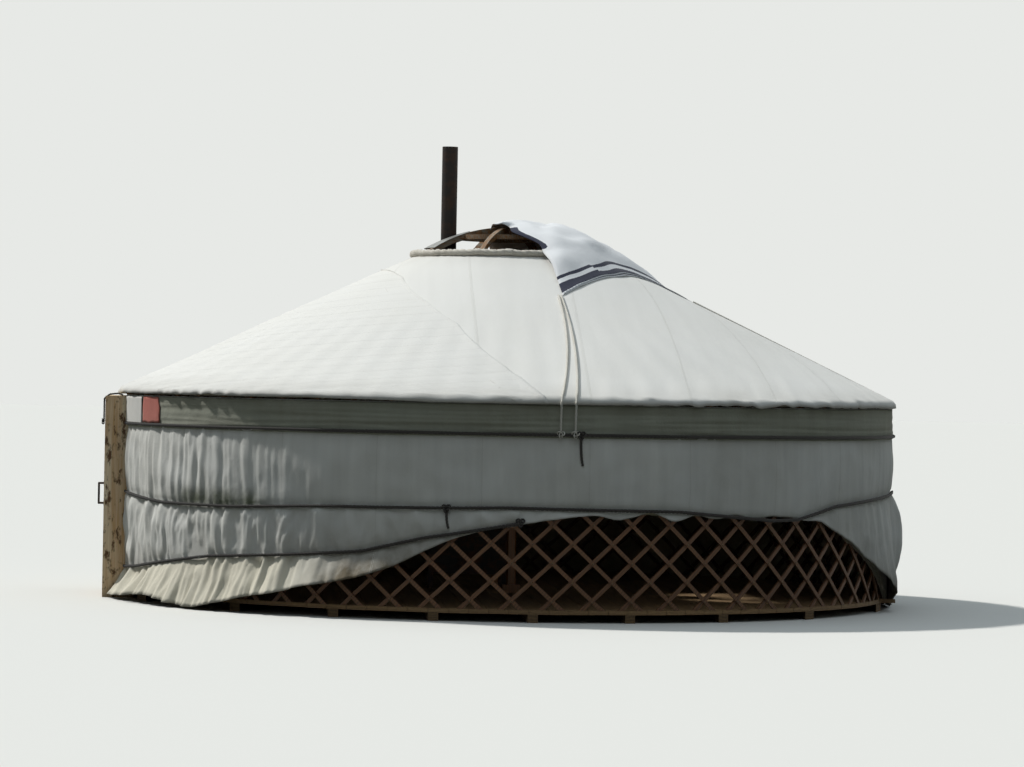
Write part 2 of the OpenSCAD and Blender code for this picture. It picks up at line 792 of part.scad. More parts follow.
// Stove and stovepipe
stove_top = floor_top + leg_h + stove_h;
pipe_wall = 3;
stove_front = -pipe_y - pipe_d;
module stove() {
    leg_w = 36;
    collar_t = 6;
    collar_h = 40;
    rim = 12;
    box_z = floor_top + leg_h;
    fire_door = [12, 240, 190];
    ash_door = [12, 240, 60];
    door_y = stove_front + (stove_l - fire_door[1]) / 2 + pipe_d / 2;
    door_x = stove_w / 2 - 1;
    color("#3b3a38")
        union() {
            translate([-stove_w / 2, stove_front, box_z]) cube([stove_w, stove_l, stove_h]);
            translate([-stove_w / 2 - rim, stove_front - rim, box_z + stove_h - rim])
                cube([stove_w + 2 * rim, stove_l + 2 * rim, rim]);
            for (x = [-1, 1], y = [0, 1])
                translate([
                    x * (stove_w - leg_w) / 2 - leg_w / 2,
                    stove_front + y * (stove_l - leg_w), floor_top,
                ]) cube([leg_w, leg_w, leg_h + 1]);
            translate([door_x, door_y, box_z + stove_h / 4]) cube(fire_door);
            translate([door_x, door_y, box_z + rim]) cube(ash_door);
            for (z = [stove_h / 4 + fire_door[2] / 2, rim + ash_door[2] / 2])
                translate([door_x + fire_door[0] - 1, door_y + fire_door[1] * 0.8, box_z + z])
                    rotate([0, 90, 0]) cylinder(d = rim, h = 2 * rim, $fn = small_fn);
            translate([0, stove_front + stove_l * 0.65, stove_top - 1])
                difference() {
                    cylinder(r = stove_w * 0.34, h = rim / 2 + 1, $fn = ring_fn);
                    for (r = [stove_w * 0.12, stove_w * 0.22])
                        translate([0, 0, rim / 4 + 1]) ring_arc(r, r + 5, 0, rim);
                }
            translate([0, -pipe_y, stove_top - 1])
                difference() {
                    cylinder(r = pipe_d / 2 + seat + collar_t, h = collar_h, $fn = small_fn);
                    translate([0, 0, 1]) cylinder(r = pipe_d / 2 + seat, h = collar_h, $fn = small_fn);
                }
        }
}

module stovepipe() {
    section_l = 900;
    bead_h = 60;
    bead = 3;
    color("#2c2a29")
        translate([0, -pipe_y, 0])
            difference() {
                union() {
                    translate([0, 0, stove_top + seat])
                        cylinder(d = pipe_d, h = pipe_top - stove_top - seat, $fn = small_fn);
                    for (i = [1:2])
                        translate([0, 0, stove_top + i * section_l])
                            cylinder(d = pipe_d + 2 * bead, h = bead_h, $fn = small_fn);
                }
                cylinder(d = pipe_d - 2 * pipe_wall, h = far, $fn = small_fn);
            }
}

module pipe_plate() {
    wing = 180 / arches / 2 + 3;
    inner = mid_ring_r - 60;
    outer = spoke_foot_r - 14;
    hole_gap = 8;
    color("#8d8f8e")
        difference() {
            intersection() {
                translate([0, 0, dome_z])
                    difference() {
                        sphere(r = plate_in + plate_t, $fn = ring_fn);
                        sphere(r = plate_in, $fn = ring_fn);
                    }
                translate([0, 0, ring_top])
                    linear_extrude(height = dome_rise + spoke_h)
                        intersection() {
                            circle(r = outer, $fn = ring_fn);
                            polygon([
                                [-inner * tan(wing), -inner], [inner * tan(wing), -inner],
                                [outer * tan(wing), -outer], [-outer * tan(wing), -outer],
                            ]);
                        }
            }
            translate([0, -pipe_y, 0]) cylinder(d = pipe_d + 2 * hole_gap, h = far, $fn = small_fn);
        }
}

for (i = [0:SECTIONS - 1]) {
    lattice(i);
    roof_poles(i);
}
for (i = [0:3])
    wall_felt(i);
floor_bearers();
floor_boards();
wall_cover(0, 37);  // wall_cover_right
wall_cover(37, 70);  // wall_cover_back
wall_cover(70, strips);  // wall_cover_left
eave_band();
band_patches();
wall_ropes();
rope_tail_upper();
rope_tail_middle();
roof_poles_door();
roof_felt(180);  // roof_felt_front
roof_felt(0);  // roof_felt_back
roof_cover(180);  // roof_cover_front
roof_cover(0);  // roof_cover_back
crown_ring();
crown_spokes();
crown_posts();
crown_cover();
crown_ropes();
door_jambs();
door_lintel();
door_sill();
door_pintles();
door_leaf();
door_panels();
door_straps();
door_handle();
stove();
stovepipe();
pipe_plate();
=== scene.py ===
from math import atan2, cos, degrees, exp, pi, radians, sin, sqrt, tan

import bmesh
import bpy
from mathutils import Matrix, Vector, noise


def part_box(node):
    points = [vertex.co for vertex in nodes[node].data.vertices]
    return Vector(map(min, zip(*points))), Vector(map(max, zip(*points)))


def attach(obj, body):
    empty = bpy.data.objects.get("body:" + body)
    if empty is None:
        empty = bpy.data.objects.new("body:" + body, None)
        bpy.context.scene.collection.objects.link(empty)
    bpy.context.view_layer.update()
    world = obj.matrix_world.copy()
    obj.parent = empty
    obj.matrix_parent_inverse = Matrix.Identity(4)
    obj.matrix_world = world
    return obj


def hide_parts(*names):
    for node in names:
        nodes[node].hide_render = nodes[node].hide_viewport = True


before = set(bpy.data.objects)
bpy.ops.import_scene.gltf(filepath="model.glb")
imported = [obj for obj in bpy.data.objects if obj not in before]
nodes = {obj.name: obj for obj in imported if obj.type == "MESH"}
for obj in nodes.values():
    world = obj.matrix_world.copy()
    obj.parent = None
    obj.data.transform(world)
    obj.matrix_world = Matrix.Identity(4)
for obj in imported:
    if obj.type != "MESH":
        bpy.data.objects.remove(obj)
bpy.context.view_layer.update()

# Angles run from +X towards +Y in degrees; the door is at -90. Lengths are metres.


def polar(angle, radius, height):
    return Vector((radius * cos(radians(angle)), radius * sin(radians(angle)), height))


def lookup(at, points):
    if at <= points[0][0]:
        return points[0][1]
    for (a, low), (b, high) in zip(points, points[1:]):
        if at <= b:
            return low + (high - low) * (at - a) / (b - a)
    return points[-1][1]


def smooth(value, start, end):
    t = min(1.0, max(0.0, (value - start) / (end - start)))
    return t * t * (3 - 2 * t)


def between(value, start, full, fade, end):
    # rises from start to full and falls again from fade to end
    return smooth(value, start, full) * (1 - smooth(value, fade, end))


def arch(t):
    return max(0.0, sin(pi * t))


def ripple(x, y, seed=0.0):
    # a smooth random value from -1 to 1; each use has a seed of its own
    return noise.noise(Vector((x, y, seed)))


def crease(x, y, seed):
    # sharp ridges between rounded hollows
    return 1 - 2 * abs(ripple(x, y, seed))


# Heights along the wall, repeated from the construction
layout = {
    "hemLow": 0.006,
    "hemLift": 0.739,
    "lift": [(-90, 0), (-72, 0.05), (-50, 0.19), (-24, 0.55), (-15, 0.76), (-8, 0.84), (0, 0.94), (6, 1),
             (40, 0.99), (47, 0.94), (56, 0.7), (66, 0.4), (76, 0.08), (84, 0), (270, 0)],
    "skirtDrop": 0.12,  # the canvas's own edge hangs lower than the felt behind it where the skirt spreads
    "middleLow": 0.700,
    "middleRise": 0.100,
    "middle": [(-90, 1.2), (-79, 1.0), (-62, 0.5), (-46, 0.5), (-30, 0.8), (-12, 0.9), (-4, 1), (20, 0.85),
               (36, 0.2), (41, 0.25), (50, 1.15), (60, 1.45), (80, 1.9), (100, 1.3), (180, 0.7), (259, 0.7),
               (270, 0.9)],
    "lowerUp": [(-90, 0.205), (-70, 0.215), (-50, 0.240), (-35, 0.130), (-24, 0.060), (-15, 0.012),
                (-2, 0.010)],
    "lowerBack": 0.150,
    "upperUp": 0.021,  # above the band's lower edge
    "liftedFrom": -2,
    "liftedTo": 78,
    "latticeR": 2.880,
    "strips": 100,
    "sections": 5,
    "heads": 12,
    "slope": 25.3,
    "seat": 0.0004,  # between two pieces that touch
}

seat = layout["seat"]
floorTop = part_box("floor_boards")[1].z
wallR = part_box("wall_cover_right")[1].x
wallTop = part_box("wall_cover_back")[1].z
bandLow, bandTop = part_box("eave_band")[0].z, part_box("eave_band")[1].z
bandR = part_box("eave_band")[1].x
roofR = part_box("roof_cover_back")[1].x
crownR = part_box("crown_ring")[1].x
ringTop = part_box("crown_ring")[1].z
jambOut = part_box("door_jambs")[1].x
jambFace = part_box("door_jambs")[0].y
roofSlope = radians(layout["slope"])
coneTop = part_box("roof_cover_back")[1].z  # the canvas at the crown ring
coneInner = crownR + 0.002
doorAngle = degrees(atan2(jambOut + seat, sqrt(layout["latticeR"] ** 2 - jambOut ** 2)))
wallFrom, wallTo = -90 + doorAngle, 270 - doorAngle
poleStep = (wallTo - wallFrom) / layout["sections"] / layout["heads"]
upperRopeZ = bandLow + layout["upperUp"]
up = Vector((0, 0, 1))


def fromDoor(angle):
    return min(angle + 90, 270 - angle)


def isLifted(angle):
    return layout["liftedFrom"] < angle < layout["liftedTo"]


def hemZ(angle):
    return layout["hemLow"] + layout["hemLift"] * lookup(angle, layout["lift"])


def canvasHem(angle):
    return hemZ(angle) - layout["skirtDrop"] * between(angle, -66, -50, -20, -7)


def middleRopeZ(angle):
    return layout["middleLow"] + layout["middleRise"] * lookup(angle, layout["middle"])


def lowerRopeZ(angle):
    if angle > layout["liftedFrom"]:
        return layout["lowerBack"]
    return hemZ(angle) + lookup(angle, layout["lowerUp"])


def coneZ(radius):
    return coneTop - (radius - coneInner) * tan(roofSlope)


# Materials

mixA, mixB, mixed = 6, 7, 2  # the colour sockets of a Mix node


def tint(code):
    def linear(v):
        return v / 12.92 if v <= 0.04045 else ((v + 0.055) / 1.055) ** 2.4
    return tuple(linear(int(code[i:i + 2], 16) / 255) for i in (1, 3, 5)) + (1.0,)


def addNode(tree, kind, inputs=None, output=0, **settings):
    # an input is given a value or linked to another node's output
    made = tree.nodes.new("ShaderNode" + kind)
    for name, value in settings.items():
        setattr(made, name, value)
    for key, value in (inputs or {}).items():
        if isinstance(value, bpy.types.NodeSocket):
            tree.links.new(value, made.inputs[key])
        else:
            made.inputs[key].default_value = value
    return made.outputs[output]


def newMaterial(name, **sockets):
    material = bpy.data.materials.new(name)
    material.use_nodes = True
    tree = material.node_tree
    shader = tree.nodes["Principled BSDF"]
    for key, value in sockets.items():
        shader.inputs[key.replace("_", " ")].default_value = value
    return material, tree, shader


def cells(mm):
    return 1000 / mm  # a noise texture's scale for patches of this many millimetres


def stripes(mm):
    return 2 * pi / 20 * 1000 / mm  # and a wave texture's for stripes


def darkened(tree, colour, tone):
    grey = addNode(tree, "CombineColor", {"Red": tone, "Green": tone, "Blue": tone})
    return addNode(tree, "Mix", {0: 1.0, mixA: colour, mixB: grey}, mixed, data_type="RGBA",
                   blend_type="MULTIPLY")


def recolour(material, change):
    # change(tree, colour) lays something over the material's own colour
    tree = material.node_tree
    base = tree.nodes["Principled BSDF"].inputs["Base Color"]
    tree.links.new(change(tree, base.links[0].from_socket), base)


# Cloth: the threads are drawn ten times as coarse as they are, so that they show from near by
clothFinish = {
    "fading": 714,
    "blotch": 111.1,
    "streak": (111.1, 1250),
    "wrinkle": 41.7,
    "stain": ("#5d6350", 0.8),  # colour, and how patchy it lies
    "grimeAndShade": ("#6f6552", 0.5),
    "seamHalf": 0.009,
    "stitchLine": 0.006,
    "stitchHalf": 0.0012,
    "stitch": 8.333,
    "stitchGap": 0.35,
}


def weave(tree, flat, thread):
    # crossing threads: two sets of stripes that swap over and under
    sets = [addNode(tree, "TexWave", {"Vector": flat, "Scale": stripes(thread), "Distortion": 0.6,
                                      "Detail": 1.0}, "Fac", bands_direction=axis) for axis in "XY"]
    return addNode(tree, "Math", {0: sets[0], 1: sets[1]}, operation="MAXIMUM")


def sewSeams(tree, flat, colour, width):
    # lengths of cloth of this width, joined by a felled seam with two rows of stitches
    across, along = addNode(tree, "SeparateXYZ", {"Vector": flat}).node.outputs[:2]
    folded = addNode(tree, "Math", {0: across, 1: width / 2}, operation="PINGPONG")
    centred = addNode(tree, "Math", {0: folded, 1: width / 4}, operation="SUBTRACT")
    away = addNode(tree, "Math", {0: centred}, operation="ABSOLUTE")
    sewn = addNode(tree, "Math", {0: away, 1: clothFinish["seamHalf"]}, operation="LESS_THAN")
    beside = addNode(tree, "Math", {0: away, 1: clothFinish["stitchLine"]}, operation="SUBTRACT")
    near = addNode(tree, "Math", {0: beside}, operation="ABSOLUTE")
    row = addNode(tree, "Math", {0: near, 1: clothFinish["stitchHalf"]}, operation="LESS_THAN")
    count = addNode(tree, "Math", {0: along, 1: cells(clothFinish["stitch"])}, operation="MULTIPLY")
    share = addNode(tree, "Math", {0: count}, operation="FRACT")
    dashes = addNode(tree, "Math", {0: share, 1: clothFinish["stitchGap"]}, operation="GREATER_THAN")
    stitched = addNode(tree, "Math", {0: row, 1: dashes}, operation="MULTIPLY")
    for part, strength, shade in ((sewn, 0.12, "#8d8a80"), (stitched, 0.7, "#f4f2ea")):
        amount = addNode(tree, "Math", {0: part, 1: strength}, operation="MULTIPLY")
        colour = addNode(tree, "Mix", {0: amount, mixA: colour, mixB: tint(shade)}, mixed, data_type="RGBA")
    return colour, sewn


def clothMaterial(name, base, warm, thread, wrinkled=0.5, runs=0.10, seam=0.0):
    # runs is how strongly rain has streaked it, seam the width of its lengths of cloth
    material, tree, shader = newMaterial(name, Roughness=0.92, Sheen_Weight=0.06, Sheen_Roughness=0.5)
    flat = addNode(tree, "UVMap", uv_map="cloth")
    place = addNode(tree, "TexCoord", output="Object")
    fading = addNode(tree, "TexNoise", {"Vector": place, "Scale": cells(clothFinish["fading"]), "Detail": 4.0,
                                        "Roughness": 0.6}, "Fac")
    blotch = addNode(tree, "TexNoise", {"Vector": place, "Scale": cells(clothFinish["blotch"]), "Detail": 6.0,
                                        "Roughness": 0.65}, "Fac")
    hung = addNode(tree, "Mapping", {"Vector": flat, "Scale": (*map(cells, clothFinish["streak"]), 1.0)})
    streak = addNode(tree, "TexNoise", {"Vector": hung, "Scale": 1.0, "Detail": 3.0, "Roughness": 0.5}, "Fac")
    colour = addNode(tree, "Mix", {0: fading, mixA: tint(base), mixB: tint(warm)}, mixed, data_type="RGBA")
    tone = addNode(tree, "MapRange", {"Value": streak, "From Min": 0.3, "From Max": 0.75,
                                      "To Min": 1.0 + runs / 2, "To Max": 1.0 - runs})
    colour = darkened(tree, colour, tone)
    # the grime attribute also carries painted shade at the foot of the wall's shaded side
    for attribute in ("stain", "grimeAndShade"):
        shade, spread = clothFinish[attribute]
        amount = addNode(tree, "Attribute", output="Fac", attribute_name=attribute)
        patchy = addNode(tree, "Math", {0: blotch, 1: spread * 2, 2: -spread * 0.75},
                         operation="MULTIPLY_ADD")
        patchy = addNode(tree, "Math", {0: patchy, 1: 0.7}, operation="ADD", use_clamp=True)
        amount = addNode(tree, "Math", {0: amount, 1: patchy}, operation="MULTIPLY", use_clamp=True)
        colour = addNode(tree, "Mix", {0: amount, mixA: colour, mixB: tint(shade)}, mixed, data_type="RGBA")
    if seam:
        colour, sewn = sewSeams(tree, flat, colour, seam)
    tree.links.new(colour, shader.inputs["Base Color"])
    wrinkles = addNode(tree, "TexNoise", {"Vector": place, "Scale": cells(clothFinish["wrinkle"]),
                                          "Detail": 5.0, "Roughness": 0.55, "Distortion": 0.6}, "Fac")
    relief = addNode(tree, "Bump", {"Height": wrinkles, "Strength": wrinkled, "Distance": 0.006})
    relief = addNode(tree, "Bump", {"Height": weave(tree, flat, thread), "Normal": relief, "Strength": 0.35,
                                    "Distance": 0.0008})
    if seam:
        relief = addNode(tree, "Bump", {"Height": sewn, "Normal": relief, "Strength": 0.8, "Distance": 0.002})
    tree.links.new(relief, shader.inputs["Normal"])
    return material


def tintedSunlitFoot(tree, colour):
    # the wall canvas's foot, below the lowest rope, is tinted cream: partly yellowed cloth, partly painted
    # sunlight, laid only on the sunlit side by the door
    foot = addNode(tree, "Attribute", output="Fac", attribute_name="creamAndSunlight")
    return addNode(tree, "Mix", {0: foot, mixA: colour, mixB: tint("#dcd5c0")}, mixed, data_type="RGBA")


navyTapes = {"colour": "#141b34", "rows": ((0.012, 0.072), (0.104, 0.128))}  # how far in from the edge


def navyHem(tree, colour):
    # two tapes sewn along the edge of the crown cloth, and a navy stripe along part of its fold
    inside = addNode(tree, "Attribute", output="Fac", attribute_name="trim")
    tapes = []
    for low, high in navyTapes["rows"]:
        over = addNode(tree, "Math", {0: inside, 1: low}, operation="GREATER_THAN")
        under = addNode(tree, "Math", {0: inside, 1: high}, operation="LESS_THAN")
        tapes.append(addNode(tree, "Math", {0: over, 1: under}, operation="MULTIPLY"))
    foldStripe = addNode(tree, "Attribute", output="Fac", attribute_name="foldStripe")
    foldStripe = addNode(tree, "Math", {0: foldStripe, 1: 0.5}, operation="GREATER_THAN")
    outer = addNode(tree, "Math", {0: tapes[0], 1: foldStripe}, operation="MAXIMUM")
    both = addNode(tree, "Math", {0: outer, 1: tapes[1]}, operation="ADD", use_clamp=True)
    return addNode(tree, "Mix", {0: both, mixA: colour, mixB: tint(navyTapes["colour"])}, mixed,
                   data_type="RGBA")


# plain weave, matt, washed until it is nearly white and streaked by rain
canvasCloth = clothMaterial("cotton canvas", "#eaebe8", "#dedcd2", 6, 0.35, seam=1.5)
recolour(canvasCloth, tintedSunlitFoot)
# the same cloth, stretched smooth and bleached by the sun
roofCloth = clothMaterial("washed cotton canvas", "#ebeae6", "#e5e3dc", 6, 0.2, 0.03, seam=1.5)
# coarse wool and cotton band, once green, faded unevenly
bandCloth = clothMaterial("faded woven band", "#acaea0", "#939686", 7, 0.6)
# dyed cloth, bleached to pink in patches
redCloth = clothMaterial("red woven cloth", "#c23a30", "#cf8f80", 7, 0.5)
# the newest cloth: cool white, hardly streaked
crownCloth = clothMaterial("white crown cloth", "#ecedee", "#e2e4e6", 6, 0.3, 0.05)
recolour(crownCloth, navyHem)


# Wood: fibres and growth rings are drawn coarser than they are, so that they show at this distance
woodFinish = {"fibre": (11.11, 285.7), "ring": (22.44, 349), "gloss": 0.3}


def woodMaterial(name, light, dark, grain, worn=None, rough=0.55, coat=0.0, wear=0.35, patch=(29.4, 454.5)):
    # grain(tree) gives coordinates whose X and Y cross the grain and whose Z follows it, in metres
    material, tree, shader = newMaterial(name, Roughness=rough, Coat_Weight=coat,
                                         Coat_Roughness=woodFinish["gloss"])
    coords = grain(tree)

    def stretched(scale, size):
        across, along = map(scale, size)
        return addNode(tree, "Mapping", {"Vector": coords, "Scale": (across, across, along)})

    fibres = addNode(tree, "TexNoise", {"Vector": stretched(cells, woodFinish["fibre"]), "Scale": 1.0,
                                        "Detail": 5.0, "Roughness": 0.6, "Distortion": 0.4}, "Fac")
    rings = addNode(tree, "TexWave", {"Vector": stretched(stripes, woodFinish["ring"]), "Scale": 1.0,
                                      "Distortion": 5.0, "Detail": 2.0, "Detail Scale": 0.7}, "Fac",
                    bands_direction="X")
    fine = addNode(tree, "Math", {0: fibres, 1: 0.7}, operation="MULTIPLY")
    broad = addNode(tree, "Math", {0: rings, 1: 0.3}, operation="MULTIPLY")
    amount = addNode(tree, "Math", {0: fine, 1: broad}, operation="ADD", use_clamp=True)
    spread = addNode(tree, "MapRange", {"Value": amount, "From Min": 0.25, "From Max": 0.75})
    colour = addNode(tree, "Mix", {0: spread, mixA: tint(dark), mixB: tint(light)}, mixed, data_type="RGBA")
    if worn:
        patches = addNode(tree, "TexNoise", {"Vector": stretched(cells, patch), "Scale": 1.0, "Detail": 6.0,
                                             "Roughness": 0.7}, "Fac")
        edge = addNode(tree, "MapRange", {"Value": patches, "From Min": 0.62 - wear * 0.4,
                                          "From Max": 0.70 - wear * 0.4})
        colour = addNode(tree, "Mix", {0: edge, mixA: colour, mixB: tint(worn)}, mixed, data_type="RGBA")
    tree.links.new(colour, shader.inputs["Base Color"])
    relief = addNode(tree, "Bump", {"Height": fibres, "Strength": 0.35, "Distance": 0.0015})
    tree.links.new(relief, shader.inputs["Normal"])
    return material


def grainAlong(axis):
    turns = {"Z": (0, 0, 0), "X": (0, pi / 2, 0), "Y": (pi / 2, 0, 0)}

    def coordsOf(tree):
        place = addNode(tree, "TexCoord", output="Object")
        return addNode(tree, "Mapping", {"Vector": place, "Rotation": turns[axis]})
    return coordsOf


def aroundMiddle(tree):
    # the angle round the tent's middle, the distance from it and the height
    place = addNode(tree, "TexCoord", output="Object")
    x, y, z = addNode(tree, "SeparateXYZ", {"Vector": place}).node.outputs
    angle = addNode(tree, "Math", {0: y, 1: x}, operation="ARCTAN2")
    squares = [addNode(tree, "Math", {0: v, 1: v}, operation="MULTIPLY") for v in (x, y)]
    total = addNode(tree, "Math", {0: squares[0], 1: squares[1]}, operation="ADD")
    return angle, addNode(tree, "Math", {0: total}, operation="SQRT"), z


def grainRadial(tree):
    # along the poles: Z of the grain is the distance from the middle
    angle, out, height = aroundMiddle(tree)
    sideways = addNode(tree, "Math", {0: angle, 1: 1.5}, operation="MULTIPLY")
    return addNode(tree, "CombineXYZ", {"X": sideways, "Y": height, "Z": out})


def grainRound(tree):
    # round the crown ring: Z of the grain is the length of the arc
    angle, out, height = aroundMiddle(tree)
    arc = addNode(tree, "Math", {0: angle, 1: 0.68}, operation="MULTIPLY")
    return addNode(tree, "CombineXYZ", {"X": out, "Y": height, "Z": arc})


lath = {"slant": 0.86, "radius": 2.892}  # radians from the horizontal, and where the two layers meet


def grainLath(tree):
    # the two layers of laths lean opposite ways; the layer is known by its distance from the middle
    angle, out, height = aroundMiddle(tree)
    arc = addNode(tree, "Math", {0: angle, 1: lath["radius"]}, operation="MULTIPLY")
    outer = addNode(tree, "Math", {0: out, 1: lath["radius"]}, operation="GREATER_THAN")
    side = addNode(tree, "Math", {0: outer, 1: 2.0, 2: -1.0}, operation="MULTIPLY_ADD")
    leaned = addNode(tree, "Math", {0: arc, 1: side}, operation="MULTIPLY")
    arcAlong, arcAcross = [addNode(tree, "Math", {0: leaned, 1: turn(lath["slant"])}, operation="MULTIPLY")
                           for turn in (cos, sin)]
    upAcross, upAlong = [addNode(tree, "Math", {0: height, 1: turn(lath["slant"])}, operation="MULTIPLY")
                         for turn in (cos, sin)]
    along = addNode(tree, "Math", {0: arcAlong, 1: upAlong}, operation="ADD")
    across = addNode(tree, "Math", {0: upAcross, 1: arcAcross}, operation="SUBTRACT")
    return addNode(tree, "CombineXYZ", {"X": across, "Y": out, "Z": along})


# split willow, its colour darkened as painted shade for the dark inside that shows under the lifted cover:
# dull, with a fine grain along each lath
lathWood = woodMaterial("willow laths", "#6f4c2e", "#402a18", grainLath, rough=0.65)
# planed pine under a thin varnish: warm, with a low sheen
poleWood = woodMaterial("pine roof poles", "#a9713c", "#74481f", grainRadial, coat=0.25)
postWood = woodMaterial("pine posts", "#a9713c", "#74481f", grainAlong("Z"), coat=0.3)
# bent birch, greyed where smoke and rain reach it
ringWood = woodMaterial("birch crown ring", "#9a6a3a", "#5f3f20", grainRound, worn="#8d8474", rough=0.6)
spokeWood = woodMaterial("birch crown spokes", "#9a6f42", "#664628", grainRadial, worn="#8d8474", rough=0.6)
# bare boards, scuffed matt, and sawn bearers under them
boardWood = woodMaterial("bare pine boards", "#a98a62", "#7d6342", grainAlong("X"), rough=0.7)
bearerWood = woodMaterial("rough larch bearers", "#7c6547", "#57452f", grainAlong("X"), rough=0.85)
# pale wood that has stood in the weather: dark stains where the paint has gone. The jamb's light and dark
# tones are made paler still, as painted sunlight on its face
jambWood = woodMaterial("weathered jamb", "#faebcd", "#c79f6e", grainAlong("Z"), worn="#5b4026", wear=0.24,
                        rough=0.8, patch=(66.67, 153.8))
railWood = woodMaterial("weathered rail", "#e0cba4", "#a07d4e", grainAlong("X"), worn="#5f4528", wear=0.24,
                        rough=0.8)
# varnish worn through at the edges
leafWood = woodMaterial("varnished door frame", "#a06a34", "#6d431d", grainAlong("Z"), worn="#b79a6e",
                        wear=0.2, coat=0.3)
# brushed oil paint, chipped to the wood here and there
bluePaint = woodMaterial("pale blue painted board", "#9fb8bb", "#8aa5a9", grainAlong("Z"), worn="#9c8f78",
                         wear=0.15, rough=0.45)


def metalMaterial(name, base, second, rough, metallic, spots):
    # spots is how large the patches of rust, soot or corrosion are, in millimetres
    material, tree, shader = newMaterial(name, Metallic=metallic)
    place = addNode(tree, "TexCoord", output="Object")
    cloud = addNode(tree, "TexNoise", {"Vector": place, "Scale": cells(spots), "Detail": 8.0,
                                       "Roughness": 0.7}, "Fac")
    amount = addNode(tree, "MapRange", {"Value": cloud, "From Min": 0.45, "From Max": 0.62})
    colour = addNode(tree, "Mix", {0: amount, mixA: tint(base), mixB: tint(second)}, mixed, data_type="RGBA")
    shine = addNode(tree, "MapRange", {"Value": cloud, "To Min": rough - 0.12, "To Max": rough + 0.15})
    pits = addNode(tree, "TexNoise", {"Vector": place, "Scale": cells(spots / 9), "Detail": 4.0}, "Fac")
    relief = addNode(tree, "Bump", {"Height": pits, "Strength": 0.4, "Distance": 0.0012})
    for value, socket in ((colour, "Base Color"), (shine, "Roughness"), (relief, "Normal")):
        tree.links.new(value, shader.inputs[socket])
    return material


# hammered black, browned by a little rust
forgedIron = metalMaterial("forged iron", "#2b2927", "#4a3527", 0.6, 0.8, 71.43)
# rolled steel, blued and rusted by heat
stoveSteel = metalMaterial("heated sheet steel", "#2e2b28", "#5a3a26", 0.65, 0.6, 142.9)
# the same under soot, which takes its shine
sootedSteel = metalMaterial("sooted pipe steel", "#262321", "#3d2f26", 0.7, 0.6, 100)
# galvanised sheet, dull grey with darker corrosion
zincPlate = metalMaterial("zinc plate", "#8c8f8e", "#6c6a64", 0.5, 0.8, 50)


def feltMaterial():
    # pressed sheep's wool: matt, clouded, with stray hairs and small dark flecks
    material, tree, shader = newMaterial("pressed wool felt", Roughness=1.0, Sheen_Weight=0.5,
                                         Sheen_Roughness=0.5)
    place = addNode(tree, "TexCoord", output="Object")
    cloud = addNode(tree, "TexNoise", {"Vector": place, "Scale": cells(200), "Detail": 6.0,
                                       "Roughness": 0.65}, "Fac")
    hairs = addNode(tree, "TexNoise", {"Vector": place, "Scale": cells(6.25), "Detail": 5.0, "Roughness": 0.7,
                                       "Distortion": 1.4}, "Fac")
    colour = addNode(tree, "Mix", {0: cloud, mixA: tint("#8f866f"), mixB: tint("#c9c0a8")}, mixed,
                     data_type="RGBA")
    fleck = addNode(tree, "MapRange", {"Value": hairs, "From Min": 0.60, "From Max": 0.72})
    amount = addNode(tree, "Math", {0: fleck, 1: 0.6}, operation="MULTIPLY")
    colour = addNode(tree, "Mix", {0: amount, mixA: colour, mixB: tint("#5b5242")}, mixed, data_type="RGBA")
    tree.links.new(colour, shader.inputs["Base Color"])
    relief = addNode(tree, "Bump", {"Height": hairs, "Strength": 0.6, "Distance": 0.003})
    relief = addNode(tree, "Bump", {"Height": cloud, "Normal": relief, "Strength": 0.5, "Distance": 0.01})
    tree.links.new(relief, shader.inputs["Normal"])
    return material


def ropeMaterial(name, light, dark):
    # twisted hair or wool: coarse fibres that catch the light on each strand
    material, tree, shader = newMaterial(name, Roughness=0.85, Sheen_Weight=0.08, Sheen_Roughness=0.5)
    place = addNode(tree, "TexCoord", output="Object")
    fibres = addNode(tree, "TexNoise", {"Vector": place, "Scale": cells(4.545), "Detail": 4.0,
                                        "Roughness": 0.7}, "Fac")
    broad = addNode(tree, "TexNoise", {"Vector": place, "Scale": cells(166.7), "Detail": 3.0}, "Fac")
    parts = [addNode(tree, "Math", {0: fibres, 1: 0.7}, operation="MULTIPLY"),
             addNode(tree, "Math", {0: broad, 1: 0.3}, operation="MULTIPLY")]
    amount = addNode(tree, "Math", {0: parts[0], 1: parts[1]}, operation="ADD", use_clamp=True)
    spread = addNode(tree, "MapRange", {"Value": amount, "From Min": 0.35, "From Max": 0.7})
    colour = addNode(tree, "Mix", {0: spread, mixA: tint(dark), mixB: tint(light)}, mixed, data_type="RGBA")
    tree.links.new(colour, shader.inputs["Base Color"])
    relief = addNode(tree, "Bump", {"Height": fibres, "Strength": 0.6, "Distance": 0.002})
    tree.links.new(relief, shader.inputs["Normal"])
    return material


feltWool = feltMaterial()
hairRope = ropeMaterial("twisted horsehair rope", "#292622", "#0c0b0a")
woolRope = ropeMaterial("twisted wool rope", "#f1eee6", "#c9c4b6")
paleWool = ropeMaterial("pale wool roll", "#efeae0", "#b8b1a2")
rawhide = ropeMaterial("rawhide thong", "#8a765a", "#54442f")
print("materials made")


# Camera, lamps and floor

def addObject(name, data):
    made = bpy.data.objects.new(name, data)
    bpy.context.scene.collection.objects.link(made)
    return made


camera = {
    "azimuth": -4,
    "distance": 30.0,
    "height": 1.70,
    "aim": (0.0, 0.03, 1.66),
    "lens": 137.0,
    "sensor": 36,
    "roll": 1.08,
    "far": 400,
}


